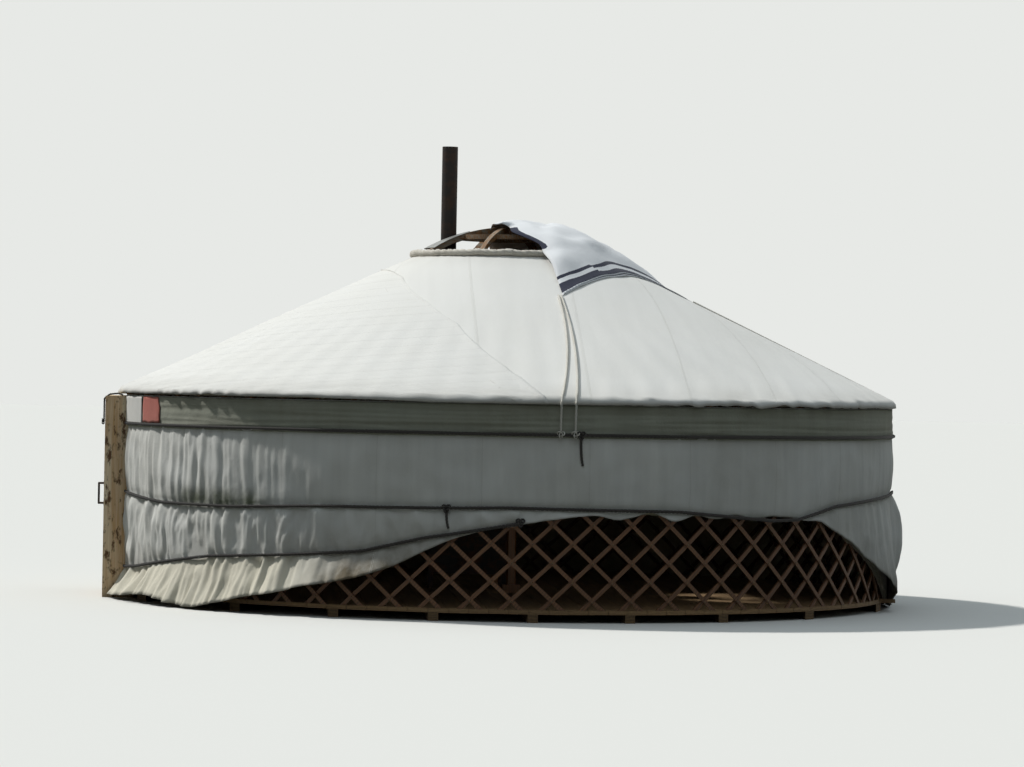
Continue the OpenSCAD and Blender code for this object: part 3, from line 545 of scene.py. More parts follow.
def addCamera():
    data = bpy.data.cameras.new("photo camera")
    data.sensor_width = camera["sensor"]
    data.lens = camera["lens"]
    data.clip_end = camera["far"]
    holder = addObject("photo camera", data)
    spot = polar(camera["azimuth"], camera["distance"], camera["height"])
    facing = (Vector(camera["aim"]) - spot).to_track_quat("-Z", "Y").to_matrix()
    holder.location = spot
    holder.rotation_euler = (facing @ Matrix.Rotation(radians(camera["roll"]), 3, "Z")).to_euler()
    bpy.context.scene.camera = holder
    bpy.context.scene.view_settings.view_transform = "Standard"


lamps = {
    "sunFrom": -120,  # the light grazes the wall from the door side
    "sunHeight": 51,
    "sunPower": 2.75,
    "sunAngle": 3.5,
    "sunColour": (1.0, 0.985, 0.955),
    "skyLow": 0.03,  # strength at the horizon, and how much more there is overhead
    "skyHigh": 0.95,
    "sky": "#d9e6ef",
    "background": "#e7e9e6",
    "floor": "#e3e2dd",
    "floorBounce": "#52534e",  # what the floor sends back to the tent, as turf would
    "floorRadius": 160,
}


def seenDirectly(tree):
    path = addNode(tree, "LightPath").node.outputs
    shown = addNode(tree, "Math", {0: path["Is Camera Ray"], 1: path["Is Glossy Ray"]}, operation="MAXIMUM")
    return addNode(tree, "Math", {0: shown, 1: path["Is Transmission Ray"]}, operation="MAXIMUM")


def addSun():
    sun = bpy.data.lights.new("key sun", "SUN")
    sun.energy = lamps["sunPower"]
    sun.angle = radians(lamps["sunAngle"])
    sun.color = lamps["sunColour"]
    height = radians(lamps["sunHeight"])
    towards = polar(lamps["sunFrom"], cos(height), sin(height))
    addObject("key sun", sun).rotation_euler = towards.to_track_quat("Z", "Y").to_euler()


def addSky():
    world = bpy.data.worlds.new("studio")
    bpy.context.scene.world = world
    world.use_nodes = True
    tree = world.node_tree
    tree.nodes.clear()
    ray = addNode(tree, "TexCoord", output="Generated")
    height = addNode(tree, "SeparateXYZ", {"Vector": ray}, "Z")
    above = addNode(tree, "Math", {0: height, 1: 0.0}, operation="MAXIMUM")
    overhead = addNode(tree, "Math", {0: above, 1: 2.0}, operation="POWER")
    more = addNode(tree, "Math", {0: overhead, 1: lamps["skyHigh"]}, operation="MULTIPLY")
    strength = addNode(tree, "Math", {0: more, 1: lamps["skyLow"]}, operation="ADD")
    sky = addNode(tree, "Background", {"Color": tint(lamps["sky"]), "Strength": strength})
    plain = addNode(tree, "Background", {"Color": tint(lamps["background"]), "Strength": 1.0})
    both = addNode(tree, "MixShader", {0: seenDirectly(tree), 1: sky, 2: plain})
    tree.links.new(both, tree.nodes.new("ShaderNodeOutputWorld").inputs["Surface"])


def toMesh(bm, name):
    mesh = bpy.data.meshes.new(name)
    bm.to_mesh(mesh)
    bm.free()
    return mesh


def addFloor():
    bm = bmesh.new()
    bmesh.ops.create_circle(bm, cap_ends=True, segments=96, radius=lamps["floorRadius"])
    ground = addObject("studio floor", toMesh(bm, "studio floor"))
    material, tree, shader = newMaterial("pale floor", Roughness=0.9, Specular_IOR_Level=0.1)
    colour = addNode(tree, "Mix", {0: seenDirectly(tree), mixA: tint(lamps["floorBounce"]),
                                   mixB: tint(lamps["floor"])}, mixed, data_type="RGBA")
    tree.links.new(colour, shader.inputs["Base Color"])
    ground.data.materials.append(material)


addCamera()
addSun()
addSky()
addFloor()
print("camera, lamps and floor placed")


# Making and finishing pieces

def newPiece(name, mesh, material, body, replaced=(), smoothed=True):
    piece = addObject(name, mesh)
    mesh.materials.clear()
    mesh.materials.append(material)
    mesh.polygons.foreach_set("use_smooth", [smoothed] * len(mesh.polygons))
    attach(piece, body)
    if replaced:
        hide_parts(*replaced)
    return piece


def thicken(piece, thickness, offset=-1.0):
    wall = piece.modifiers.new("thickness", "SOLIDIFY")
    wall.thickness = thickness
    wall.offset = offset
    wall.use_even_offset = False


def soften(piece, width, segments=2):
    edge = piece.modifiers.new("softened edges", "BEVEL")
    edge.width = width
    edge.segments = segments
    edge.limit_method = "ANGLE"
    edge.angle_limit = radians(40)


def fromAxis(point):
    return Vector((point.x, point.y, 0.0))


def upAndOut(point):
    return Vector((point.x, point.y, 2.0))


def clothGrid(name, columns, rows, place, outward):
    # place(s, t) gives a point, its UV in metres, how much stain it has, and how much grime with painted
    # shade
    bm = bmesh.new()
    bmesh.ops.create_grid(bm, x_segments=columns, y_segments=rows, size=0.5)
    uv = bm.loops.layers.uv.new("cloth")
    stain = bm.verts.layers.float.new("stain")
    grimeAndShade = bm.verts.layers.float.new("grimeAndShade")
    flat = {}
    for vert in bm.verts:
        vert.co, flat[vert.index], vert[stain], vert[grimeAndShade] = place(vert.co.x + 0.5, vert.co.y + 0.5)
    area = 0.0
    for face in bm.faces:
        corners = []
        for loop in face.loops:
            loop[uv].uv = flat[loop.vert.index]
            corners.append(Vector((*flat[loop.vert.index], 0)))
        area += abs((corners[2] - corners[0]).cross(corners[3] - corners[1]).z) / 2
    bm.normal_update()
    bm.faces.ensure_lookup_table()
    middle = bm.faces[len(bm.faces) // 2]
    if middle.normal.dot(outward(middle.calc_center_median())) < 0:
        bmesh.ops.reverse_faces(bm, faces=bm.faces)
    return toMesh(bm, name), area


def joined(name, meshes):
    bm = bmesh.new()
    for mesh in meshes:
        bm.from_mesh(mesh)
    for mesh in meshes:
        bpy.data.meshes.remove(mesh)
    return toMesh(bm, name)


ropeMake = {"groove": 0.80, "ball": 1.0}  # how deep the strands part, and how far each reaches, of the radius


def ropeProfile(diameter, lobes):
    outline = bpy.data.curves.new("rope profile", "CURVE")
    outline.dimensions = "2D"
    spline = outline.splines.new("POLY")
    count = lobes * 3
    spline.points.add(count - 1)
    for i, point in enumerate(spline.points):
        reach = diameter / 2 * (ropeMake["groove"] if i % 3 == 0 else ropeMake["ball"])
        point.co = (reach * cos(2 * pi * i / count), reach * sin(2 * pi * i / count), 0, 1)
    spline.use_cyclic_u = True
    return bpy.data.objects.new("rope profile", outline)


def evenly(points, step, closed=False):
    # points at even steps along the line through the given ones
    ring = list(points) + [points[0]] if closed else list(points)
    lengths = [0.0]
    for a, b in zip(ring, ring[1:]):
        lengths.append(lengths[-1] + (b - a).length)
    count = max(2, round(lengths[-1] / step))
    made, span = [], 0
    for i in range(count if closed else count + 1):
        want = lengths[-1] * i / count
        while span < len(ring) - 2 and lengths[span + 1] < want:
            span += 1
        t = (want - lengths[span]) / max(1e-9, lengths[span + 1] - lengths[span])
        made.append(ring[span].lerp(ring[span + 1], t))
    return made


def layRope(points, diameter, lay=3.6, lobes=3, closed=False, step=0.45):
    # a rope of twisted strands along a line: the profile turns once in lay diameters
    path = evenly(points, diameter * step, closed)
    line = bpy.data.curves.new("rope line", "CURVE")
    line.dimensions = "3D"
    line.bevel_mode = "OBJECT"
    line.bevel_object = ropeProfile(diameter, lobes)
    line.use_fill_caps = not closed
    line.twist_mode = "MINIMUM"
    spline = line.splines.new("POLY")
    spline.points.add(len(path) - 1)
    run = 0.0
    for i, point in enumerate(path):
        run += (point - path[i - 1]).length if i else 0.0
        spline.points[i].co = (*point, 1)
        spline.points[i].tilt = 2 * pi * run / (lay * diameter)
    spline.use_cyclic_u = closed
    holder = addObject("rope line", line)
    graph = bpy.context.evaluated_depsgraph_get()
    mesh = bpy.data.meshes.new_from_object(holder.evaluated_get(graph))
    profile = line.bevel_object
    bpy.data.objects.remove(holder)
    bpy.data.objects.remove(profile)
    return mesh


def knot(centre, out, size, diameter, count=40):
    # a half hitch: a three-lobed knot pressed flat on what it is tied to
    side = out.cross(up).normalized()
    points = []
    for i in range(count):
        t = 2 * pi * i / count
        a, b, c = sin(t) + 2 * sin(2 * t), cos(t) - 2 * cos(2 * t), -sin(3 * t)
        points.append(centre + size / 3 * (a * side + b * up) + size * 0.35 * c * out)
    return layRope(points, diameter, closed=True, step=0.6)


# The ropes round the wall, and the free ends that hang from their knots

wallRopes = {
    "diameter": 0.024,
    "wander": 0.003,
    "upperKnot": 6,
    "middleKnot": -12,
    "knotOut": 0.010,
    "knotSize": 0.032,
    "knotRope": 0.014,
}
ropeStand = wallRopes["diameter"] / 2 + seat
upperRopeR, lowerRopeR = bandR + ropeStand, wallR + ropeStand

tails = {
    "upper": {"angle": wallRopes["upperKnot"], "radius": upperRopeR,
              "top": upperRopeZ - ropeStand, "length": 0.200},
    "middle": {"angle": wallRopes["middleKnot"], "radius": lowerRopeR,
               "top": middleRopeZ(wallRopes["middleKnot"]) - ropeStand - seat, "length": 0.130},
    "diameter": 0.018,
    "spread": 1.12,  # the strands open at a free end
    "sway": 0.3,
    "steps": 12,
}


def addTail(which):
    spec, steps = tails[which], tails["steps"]
    route = [polar(spec["angle"] + tails["sway"] * (i / steps) ** 3, spec["radius"],
                   spec["top"] - i * spec["length"] / steps) for i in range(steps + 1)]
    mesh = layRope(route, tails["diameter"] * tails["spread"], lay=3.2, step=0.35)
    piece = newPiece("looseEnd" + which.title(), mesh, hairRope, "house", ["rope_tail_" + which])


addTail("upper")
addTail("middle")
print("loose rope ends hung")


# The wall covers: canvas that bulges between the ropes and gathers beside the door

wallCloth = {
    "thickness": 0.003,
    "bulge": 0.020,
    "sideBag": 0.160,  # the right side's cloth stands off between its ropes
    "fold": 0.027,
    "foldSpacing": 0.075,
    "crumpleHigh": (0.006, 0.003),  # coarse and fine, above the middle rope and below it
    "crumpleLow": (0.020, 0.010),
    "skirtFlare": 0.13,
    "pinch": (0.006, 0.020),  # depth and height of the dent under a rope
    "ragged": 0.010,
    "swags": (0.030, 0.055),  # the lifted edge sags between its ties
    "tuck": 0.0055,  # the back cover's ends go in under its neighbours
    "lap": 1.6,  # degrees that they reach under
    "edge": -0.05,  # degrees from the door posts
    "wave": 0.004,
    "liftedSwell": 0.012,
    "bandPress": 0.001,  # the most that it stands out behind the band
    "lowest": 0.005,
    "inset": 0.001,
    "sinkMost": 0.004,
    "yellowedAndSunlit": 0.85,
    "column": 0.014,
    "backColumn": 0.019,
    "rowStep": 0.026,
}


def gathered(angle, low):
    # how strongly the cloth is gathered: most beside the door on either side
    near = 1 - (smooth(fromDoor(angle), 52, 74) if low else smooth(fromDoor(angle), 44, 62))
    patches = 0.5 + 0.5 * ripple(angle * 0.06, 3.1 if low else 1.7, 5.0)
    return max(near, 0.16 + 0.30 * patches * patches)


def foldDepth(angle, z, low):
    arc = radians(angle) * wallR
    bend = 0.35 * ripple(arc * 1.6, z * 1.7, 9.0)
    f = 1 / wallCloth["foldSpacing"]
    first = ripple((arc + bend * 0.12) * f, z * 0.9, 2.0)
    second = ripple((arc + bend * 0.1) * f * 2.1, z * 1.8 + 4.0, 7.0)
    slack = ripple(arc * 3.0 + z * 2.0, z * 3.4, 12.0)
    if low:
        first += 0.55 * ripple(arc * f * 0.8, z * 0.7, 3.0) * between(angle, -62, -54, -28, -18)
    return first * 0.75 + second * 0.35 + slack * 0.3


def wallRow(angle, z, hem):
    # whether a height is in the low row, how far the cloth there swells, how deep it folds and how it flares
    lower, middle = lowerRopeZ(angle), middleRopeZ(angle)
    bulge, bag = wallCloth["bulge"], wallCloth["sideBag"]
    if z > upperRopeZ:
        return False, 0.0, 0.25, 0.0
    if z > middle:
        t = (z - middle) / (upperRopeZ - middle)
        return False, bulge * arch(t) ** 0.7, 0.35 + 0.65 * arch(t) ** 0.5, 0.0
    if isLifted(angle):
        t = (middle - z) / max(0.05, middle - hem)
        swell = wallCloth["liftedSwell"] * t + 0.5 * bag * t * between(angle, 58, 68, 72, 78)
        return True, swell, 0.4 + 0.4 * t, 0.0
    if z > lower:
        t = (z - lower) / (middle - lower)
        swell = bulge * 0.8 * arch(t) ** 0.7 + bag * between(angle, 78, 84, 90, 100) * arch(t) ** 0.8
        return True, swell, 0.45 + 0.65 * arch(t) ** 0.5, 0.0
    t = min(1.0, (lower - z) / max(0.03, lower - hem))
    flare = wallCloth["skirtFlare"] * (0.15 + 0.85 * (1 - smooth(fromDoor(angle), 58, 86))) * t ** 1.3
    return True, 0.0, 0.8 + 2.0 * t, flare * min(1.0, (lower - hem) / 0.18)


def wallSurface(angle, z, hem):
    # how far the cloth stands out from the wall
    low, swell, depth, flare = wallRow(angle, z, hem)
    gather = gathered(angle, low)
    arc = radians(angle) * wallR
    offset = swell * (0.75 + 0.5 * ripple(angle * 0.09, z * 0.8, 20.0)) + flare
    offset += wallCloth["fold"] * gather * depth * foldDepth(angle, z, low)
    offset += wallCloth["wave"] * ripple(angle * 0.35, z * 7.0, 31.0)
    coarse, fine = wallCloth["crumpleLow" if low else "crumpleHigh"]
    crumple = coarse * (crease(arc * 6.2 + 1.2 * z, z * 2.7 - arc * 0.5, 33.0) - 0.5)
    crumple += fine * (crease(arc * 13.0 - 2.0 * z, z * 5.5 + arc, 34.0) - 0.5)
    offset += (0.4 + 0.6 * gather) * crumple
    if z > upperRopeZ:  # pressed flat behind the band
        offset = min(0.3 * offset, wallCloth["bandPress"])
    ropes = [middleRopeZ(angle)] if isLifted(angle) else [middleRopeZ(angle), lowerRopeZ(angle)]
    pinch, height = wallCloth["pinch"]
    return offset - sum(pinch * exp(-((z - rope) / height) ** 2) for rope in ropes)


def wallFoot(angle):
    # the canvas's ragged lower edge
    arc = radians(angle) * wallR
    ragged = wallCloth["ragged"] * ripple(arc * 4.0, 1.0, 40.0)
    if layout["liftedFrom"] < angle < 50:
        small, large = wallCloth["swags"]
        ragged += small * abs(ripple(arc * 3.1, 2.0, 41.0))
        ragged += large * between(angle, 4, 12, 42, 50) * ripple(arc * 4.3, 2.0, 42.0)
    return max(wallCloth["lowest"], canvasHem(angle) + ragged)


def shadedFoot(angle):
    # painted shade: where the foot of the right side lies in shade it is darkened more and gets no cream tint
    return between(angle, -38, -25, 84, 100)


def wallStainsAndShade(angle, z):
    # a green stain along the middle rope near the door, grime at the foot and in broad patches, darker
    # towards the bottom over most of the right side, and painted shade at the foot where it lies in shade
    arc = radians(angle) * wallR
    middle, lower = middleRopeZ(angle), lowerRopeZ(angle)
    stained = (1 - smooth(abs(z - middle - 0.05), 0.02, 0.11)) * between(angle, -61, -55, -43, -36)
    stained *= 0.75 + 0.5 * ripple(arc * 9, z * 4, 52.0)
    patches = 0.5 + 0.5 * ripple(arc * 2, 0, 50.0)
    stained += 0.35 * (1 - smooth(abs(z - middle - 0.02), 0.01, 0.06)) * patches
    dirtAndShade = 0.55 * (1 - smooth(z, 0.05, 0.45)) + 0.15 * (1 - smooth(z - lower, 0.0, 0.2))
    dirtAndShade += 0.22 * max(0.0, ripple(arc * 1.1, z * 2.2, 51.0) + 0.15)
    dirtAndShade += 0.30 * (1 - smooth(z, 0.40, 0.85)) * between(angle, -46, -30, 60, 80)
    # below the lowest rope: painted shade, more darkening on the shaded right side and less on the sunlit
    # side by the door
    if z < lower:
        dirtAndShade *= 0.2 + 1.4 * shadedFoot(angle)
    return max(0.0, stained), max(0.0, dirtAndShade)


def wallPlace(start, end, tucked):
    def place(s, t):
        angle = start + (end - start) * s
        low = wallFoot(angle)
        z = low + (wallTop - low) * t
        radius = wallR - wallCloth["inset"] + max(-wallCloth["sinkMost"], wallSurface(angle, z, low))
        if tucked:
            radius -= wallCloth["tuck"] * (1 - smooth(min(angle - start, end - angle), 1.5, 1.9))
        return polar(angle, radius, z), (radians(angle) * wallR, z), *wallStainsAndShade(angle, z)
    return place


def addWallCover(name, node, start, end, column, tucked=False):
    columns = round(radians(end - start) * wallR / column)
    rows = round(wallTop / wallCloth["rowStep"])
    mesh, area = clothGrid(name, columns, rows, wallPlace(start, end, tucked), fromAxis)
    creamAndSunlight = mesh.attributes.new("creamAndSunlight", "FLOAT", "POINT")
    for vert in mesh.vertices:
        angle = degrees(atan2(vert.co.y, vert.co.x))
        angle += 360 if angle < -90 else 0
        # cream tint below the lowest rope: partly yellowed cloth, partly painted sunlight, left off where the
        # foot lies in shade
        below = smooth(lowerRopeZ(angle) - vert.co.z, 0.0, 0.03)
        yellowedAndSunlit = wallCloth["yellowedAndSunlit"] * below * (1 - shadedFoot(angle))
        creamAndSunlight.data[vert.index].value = 0.0 if isLifted(angle) else yellowedAndSunlit
    piece = newPiece(name, mesh, canvasCloth, "house", [node])
    thicken(piece, wallCloth["thickness"])


stripAngle = (wallTo - wallFrom) / layout["strips"]
cornerRight = wallFrom + 37 * stripAngle
cornerLeft = wallFrom + 70 * stripAngle
edge, lap, column, backColumn = [wallCloth[key] for key in ("edge", "lap", "column", "backColumn")]
addWallCover("wallCanvasRight", "wall_cover_right", wallFrom + edge, cornerRight, column)
addWallCover("wallCanvasBack", "wall_cover_back", cornerRight - lap, cornerLeft + lap, backColumn, True)
addWallCover("wallCanvasLeft", "wall_cover_left", cornerLeft, wallTo - edge, backColumn)
print("wall canvas hung")


# Wall felts: two layers behind the canvas, with rough edges

felt = {
    "parts": 4,
    "layer": 0.013,
    "gap": 0.001,
    "up": 0.015,
    "outerUp": 0.020,  # the outer layer ends higher
    "lowest": 0.012,
    "rough": (0.014, 0.008),
    "uneven": 0.0015,
    "inner": 2.9065,
    "step": 0.045,
    "rows": 30,
}


def addWallFelt(part, layer):
    reach = (wallTo - wallFrom) / felt["parts"]
    start = wallFrom + part * reach
    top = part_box("wall_felt_%d" % (part + 1))[1].z
    inner = felt["inner"] + layer * (felt["layer"] + felt["gap"])
    seed = 60.0 + part * 3 + layer
    large, small = felt["rough"]

    def place(s, t):
        angle = start + reach * s
        arc = radians(angle) * inner
        rough = large * ripple(arc * 7, 0.0, seed) + small * ripple(arc * 22, 0.0, seed)
        low = max(felt["lowest"], hemZ(angle) + felt["up"] + rough + layer * felt["outerUp"])
        z = low + (top - low) * t
        radius = inner + felt["layer"] + felt["uneven"] * ripple(arc * 5, z * 5, seed)
        return polar(angle, radius, z), (arc, z), 0.0, 0.0

    width = radians(reach) * inner
    mesh, area = clothGrid("wallFelt", round(width / felt["step"]), felt["rows"], place, fromAxis)
    name = "wallFelt%d%s" % (part + 1, "Outer" if layer else "Inner")
    piece = newPiece(name, mesh, feltWool, "house", ["wall_felt_%d" % (part + 1)])
    thicken(piece, felt["layer"])


for part in range(felt["parts"]):
    for layer in range(2):
        addWallFelt(part, layer)
print("wall felts hung")


# Roof: two canvas halves, of which the front one laps over the back one, and two felts under them

roofCanvas = {
    "thickness": 0.003,
    "inset": 0.001,
    "round": 0.020,  # radius of the bend at the eave
    "steep": 80,  # degrees that it hangs at there
    "hang": 0.036,
    "hemWave": 0.006,
    "torn": (0.018, 0.026),
    "drawnUp": 0.014,  # beside the door
    "ruffled": 0.022,
    "loose": 0.024,
    "standMost": 0.026,
    "hem": (0.004, 0.030),  # thickness and width
    "frontLift": 0.004,
    "lap": 0.30,
    "columns": 330,
    "rows": 84,
    "poleDip": 0.0022,
    "swell": 0.006,
    "ripples": (0.006, 0.0035),  # coarse and fine, near the eave
    "hemRipple": 0.008,
    # the front canvas's edge: distance from the middle against angle from +X; it passes before the crown
    "edge": [(0.990, -90), (0.996, -80), (1.01, -70), (1.05, -60), (1.12, -50), (1.26, -41), (1.55, -26.5),
             (1.88, -15.2), (2.33, -7.5), (2.67, -2), (2.87, 0.3), (2.97, 1.5)],
}
eaveBend, eaveSteep = roofCanvas["round"], radians(roofCanvas["steep"])
bendR = roofR - roofCanvas["inset"] - eaveBend * (sin(eaveSteep) - sin(roofSlope))  # where the slope ends
slopeLength = (bendR - coneInner) / cos(roofSlope)
roofLength = slopeLength + eaveBend * (eaveSteep - roofSlope)


def roofLine(distance):
    # radius, height and slope at a distance along the canvas from the crown hole
    if distance <= slopeLength:
        radius = coneInner + distance * cos(roofSlope)
        return radius, coneZ(radius), roofSlope
    slope = min(eaveSteep, roofSlope + (distance - slopeLength) / eaveBend)
    left = max(0.0, distance - roofLength)
    radius = bendR + eaveBend * (sin(slope) - sin(roofSlope)) + left * cos(slope)
    return radius, coneZ(bendR) - eaveBend * (cos(roofSlope) - cos(slope)) - left * sin(slope), slope


def eaveHang(angle):
    # how far the hem hangs below the bend
    arc = radians(angle) * roofR
    wave, notch = roofCanvas["torn"]
    hang = roofCanvas["hang"] + roofCanvas["hemWave"] * ripple(arc * 2.0, 0.0, 70.0)
    hang += between(angle, 12, 18, 54, 60) * (wave * ripple(arc * 9.0, 0.0, 71.0)
                                              - notch * abs(ripple(arc * 5.0, 0.0, 72.0)))
    hang -= roofCanvas["drawnUp"] * between(angle, -86, -80, -34, -8)
    hang -= roofCanvas["ruffled"] * between(angle, -66, -62, -48, -44) * abs(ripple(arc * 6.0, 0.0, 73.0))
    return hang


def roofRelief(angle, radius, slope, distance):
    # the canvas dips between the poles, ripples towards the eave and hangs loose in two places
    arc = radians(angle) * radius
    shown = angle - 360 if angle > 270 else angle
    phase = 2 * pi * (angle - wallFrom) / poleStep
    near = smooth(radius, 2.3, 2.95)
    out = roofCanvas["poleDip"] * cos(phase) * smooth(radius, 1.4, 2.4) * (1 - smooth(slope, 0.6, 1.2))
    out += roofCanvas["swell"] * ripple(angle * 0.05, radius * 1.6, 80.0) * smooth(radius, 0.75, 1.1)
    coarse, fine = roofCanvas["ripples"]
    out += coarse * near * ripple(arc * 8.0, radius * 1.5, 81.0)
    out += fine * near * ripple(arc * 19.0, radius * 3.0, 82.0)
    out += roofCanvas["hemRipple"] * smooth(slope, 0.7, 1.3) * ripple(arc * 5.5, distance * 2, 83.0)
    loose = between(shown, 6, 12, 52, 62) + between(shown, -66, -60, -46, -38)
    waved = 0.3 + ripple(arc * 13.0, distance * 3, 87.0)
    return out + roofCanvas["loose"] * loose * smooth(slope, 0.5, 1.3) * waved


def roofPlace(side, lift):
    edge = roofCanvas["edge"]
    hem, hemWidth = roofCanvas["hem"]
    first = (edge[0][0] + 0.002 - coneInner) / cos(roofSlope) if side == "front" else 0.0

    def place(s, t):
        guess = first + (roofLength - first) * t
        radius = min(edge[-1][0], coneInner + guess * cos(roofSlope))
        seam = lookup(radius, edge)
        if side == "front":
            angle = 180 - seam + (180 + 2 * seam) * s
        else:
            start = max(-90.0, seam - degrees(roofCanvas["lap"] / radius) * 0.8)
            angle = start + (180 - 2 * start) * s
        shown = angle - 360 if angle > 270 else angle
        distance = first + (roofLength - first + eaveHang(shown)) * t
        radius, z, slope = roofLine(distance)
        out = roofRelief(angle, radius, slope, distance)
        if side == "front":
            inside = min(s, 1 - s) * pi * radius
            out += hem * (1 - smooth(inside, hemWidth, hemWidth * 1.5))
            out += hem * (1 - smooth(inside, 0.0, hemWidth)) * (1 + ripple(radius * 9, 0, 84.0))
        stand = min(out + lift, roofCanvas["standMost"])
        point = polar(angle, radius + stand * sin(slope), z + stand * cos(slope))
        arc = radians(angle) * radius
        dirtAndShade = 0.35 * smooth(radius, 2.7, 2.97) * (0.5 + 0.5 * ripple(arc * 3, 0, 85.0))
        dirtAndShade += 0.25 * (1 - smooth(radius, 0.75, 1.0)) * (0.5 + 0.5 * ripple(angle * 0.1, 0, 86.0))
        return point, (arc, distance), 0.0, max(0.0, dirtAndShade)
    return place


def addRoofCanvas(side, node, lift):
    name = "roofCanvas" + side.title()
    mesh = clothGrid(name, roofCanvas["columns"], roofCanvas["rows"], roofPlace(side, lift), upAndOut)[0]
    piece = newPiece(name, mesh, roofCloth, "house", [node])
    thicken(piece, roofCanvas["thickness"])


addRoofCanvas("back", "roof_cover_back", 0.0)
addRoofCanvas("front", "roof_cover_front", roofCanvas["frontLift"])
print("roof canvas laid")


crownRoll = {"out": 0.030, "up": 0.022, "wander": 0.010, "rise": 0.016, "diameter": 0.054, "every": 3}


def addCrownRoll():
    # the canvas's inner edge is rolled round a thick wool rope beside the crown ring
    radius = crownR + crownRoll["out"]
    points = [polar(a, radius + crownRoll["wander"] * ripple(a * 0.2, 0, 95.0),
                    coneZ(radius) + crownRoll["up"] + crownRoll["rise"] * ripple(a * 0.12, 0, 96.0))
              for a in range(90, 450, crownRoll["every"])]  # its ends meet under the crown cloth
    mesh = layRope(points, crownRoll["diameter"], lay=4.5, lobes=4, closed=True, step=0.4)
    newPiece("crownRoll", mesh, paleWool, "house")


roofFelt = {
    "outer": 2.948,
    "length": 2.5,
    "under": 0.011,
    "toe": 0.02,  # its outer edge drops
    "rough": 0.008,
    "uneven": 0.002,
    "thickness": 0.0185,
    "columns": 140,
    "rows": 34,
}


def addRoofFelt(side, node, start):
    def place(s, t):
        angle = start + 180 * s
        radius = coneInner + (roofFelt["outer"] - coneInner) * t
        arc = radians(angle) * radius
        rough = roofFelt["rough"] * ripple(arc * 8, 0, 90.0) * smooth(t, 0.97, 1.0)
        z = coneZ(radius) - roofFelt["under"] - roofFelt["toe"] * smooth(radius, 2.90, 2.95)
        z += roofFelt["uneven"] * ripple(arc * 4, radius * 4, 91.0)
        return polar(angle, radius + rough, z), (arc, radius), 0.0, 0.0

    mesh = clothGrid("roofFelt" + side, roofFelt["columns"], roofFelt["rows"], place, upAndOut)[0]
    piece = newPiece("roofFelt" + side, mesh, feltWool, "house", [node])
    thicken(piece, roofFelt["thickness"])


addCrownRoll()
addRoofFelt("Front", "roof_felt_front", 180)
addRoofFelt("Back", "roof_felt_back", 0)
print("roof felts laid")


# The cloth band under the eave, and the red pieces and white flaps on it beside the door

band = {
    "thickness": 0.0025,
    "column": 0.020,
    "rows": 26,
    "stand": 0.006,  # the most that it stands out, and that it sinks in
    "sink": 0.004,
    "edgeWave": 0.004,
    "waves": (0.006, 0.003),  # along it, and across it
    "creases": 0.005,
    "ropeDent": (0.004, 0.012),  # depth and height
}
patch = {
    "over": 0.0065,
    "thickness": 0.002,
    "red": 0.32,
    "redInset": 0.50,
    "redDown": 0.010,
    "redTorn": 0.016,
    "redSlant": 0.030,
    "redEdge": 0.008,
    "redWave": 0.003,
    "white": 0.47,
    "whiteEdge": (0.012, 0.010),
    "whiteWave": 0.005,
}


def bandPlace(s, t):
    angle = wallFrom + 0.1 + (wallTo - wallFrom - 0.2) * s
    arc = radians(angle) * bandR
    low = bandLow + band["edgeWave"] * ripple(arc * 1.3, 0, 100.0)
    z = low + (bandTop - low) * t
    long, short = band["waves"]
    offset = long * ripple(arc * 1.2, z * 16.0, 101.0) + short * ripple(arc * 8.0, z * 5.0, 102.0)
    offset += band["creases"] * (crease(arc * 0.8, z * 26.0, 104.0) - 0.4)
    dent, height = band["ropeDent"]
    offset -= dent * exp(-((z - upperRopeZ) / height) ** 2)
    radius = bandR + max(-band["sink"], min(offset, band["stand"]))
    dirtAndShade = 0.4 * (0.5 + 0.5 * ripple(arc * 1.4, z * 9, 103.0))
    return polar(angle, radius, z), (arc, z), 0.0, dirtAndShade


def addBand():
    width = radians(wallTo - wallFrom) * bandR
    mesh = clothGrid("eaveBand", round(width / band["column"]), band["rows"], bandPlace, fromAxis)[0]
    piece = newPiece("eaveBandCloth", mesh, bandCloth, "house", ["eave_band"])
    thicken(piece, band["thickness"])


def addRedCloth():
    low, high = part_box("band_patches")[0].z - patch["redDown"], bandTop - 0.002
    radius = bandR + patch["over"]
    span = degrees(patch["red"] / radius)
    first = wallFrom + degrees(patch["redInset"] / radius)
    meshes = []
    for start in (first, 180 - first - span):
        def place(s, t):
            torn = patch["redTorn"] * ripple(t * 2.6, s * 2, 111.0)
            torn -= patch["redSlant"] * smooth(t, 0.5, 1.0) * (s - 0.2)
            angle = start + span * s + degrees(torn / radius)
            arc = radians(angle) * radius
            z = low + (high - low) * t + patch["redEdge"] * ripple(arc * 12, t, 115.0)
            out = patch["redWave"] * ripple(arc * 11, z * 4, 110.0) + 0.002
            return polar(angle, radius + max(0.001, out), z), (arc, z), 0.0, 0.2
        meshes.append(clothGrid("red cloth", 16, 10, place, fromAxis)[0])
    piece = newPiece("redClothPieces", joined("redCloth", meshes), redCloth, "house",
                     ["band_patches"])
    thicken(piece, patch["thickness"])


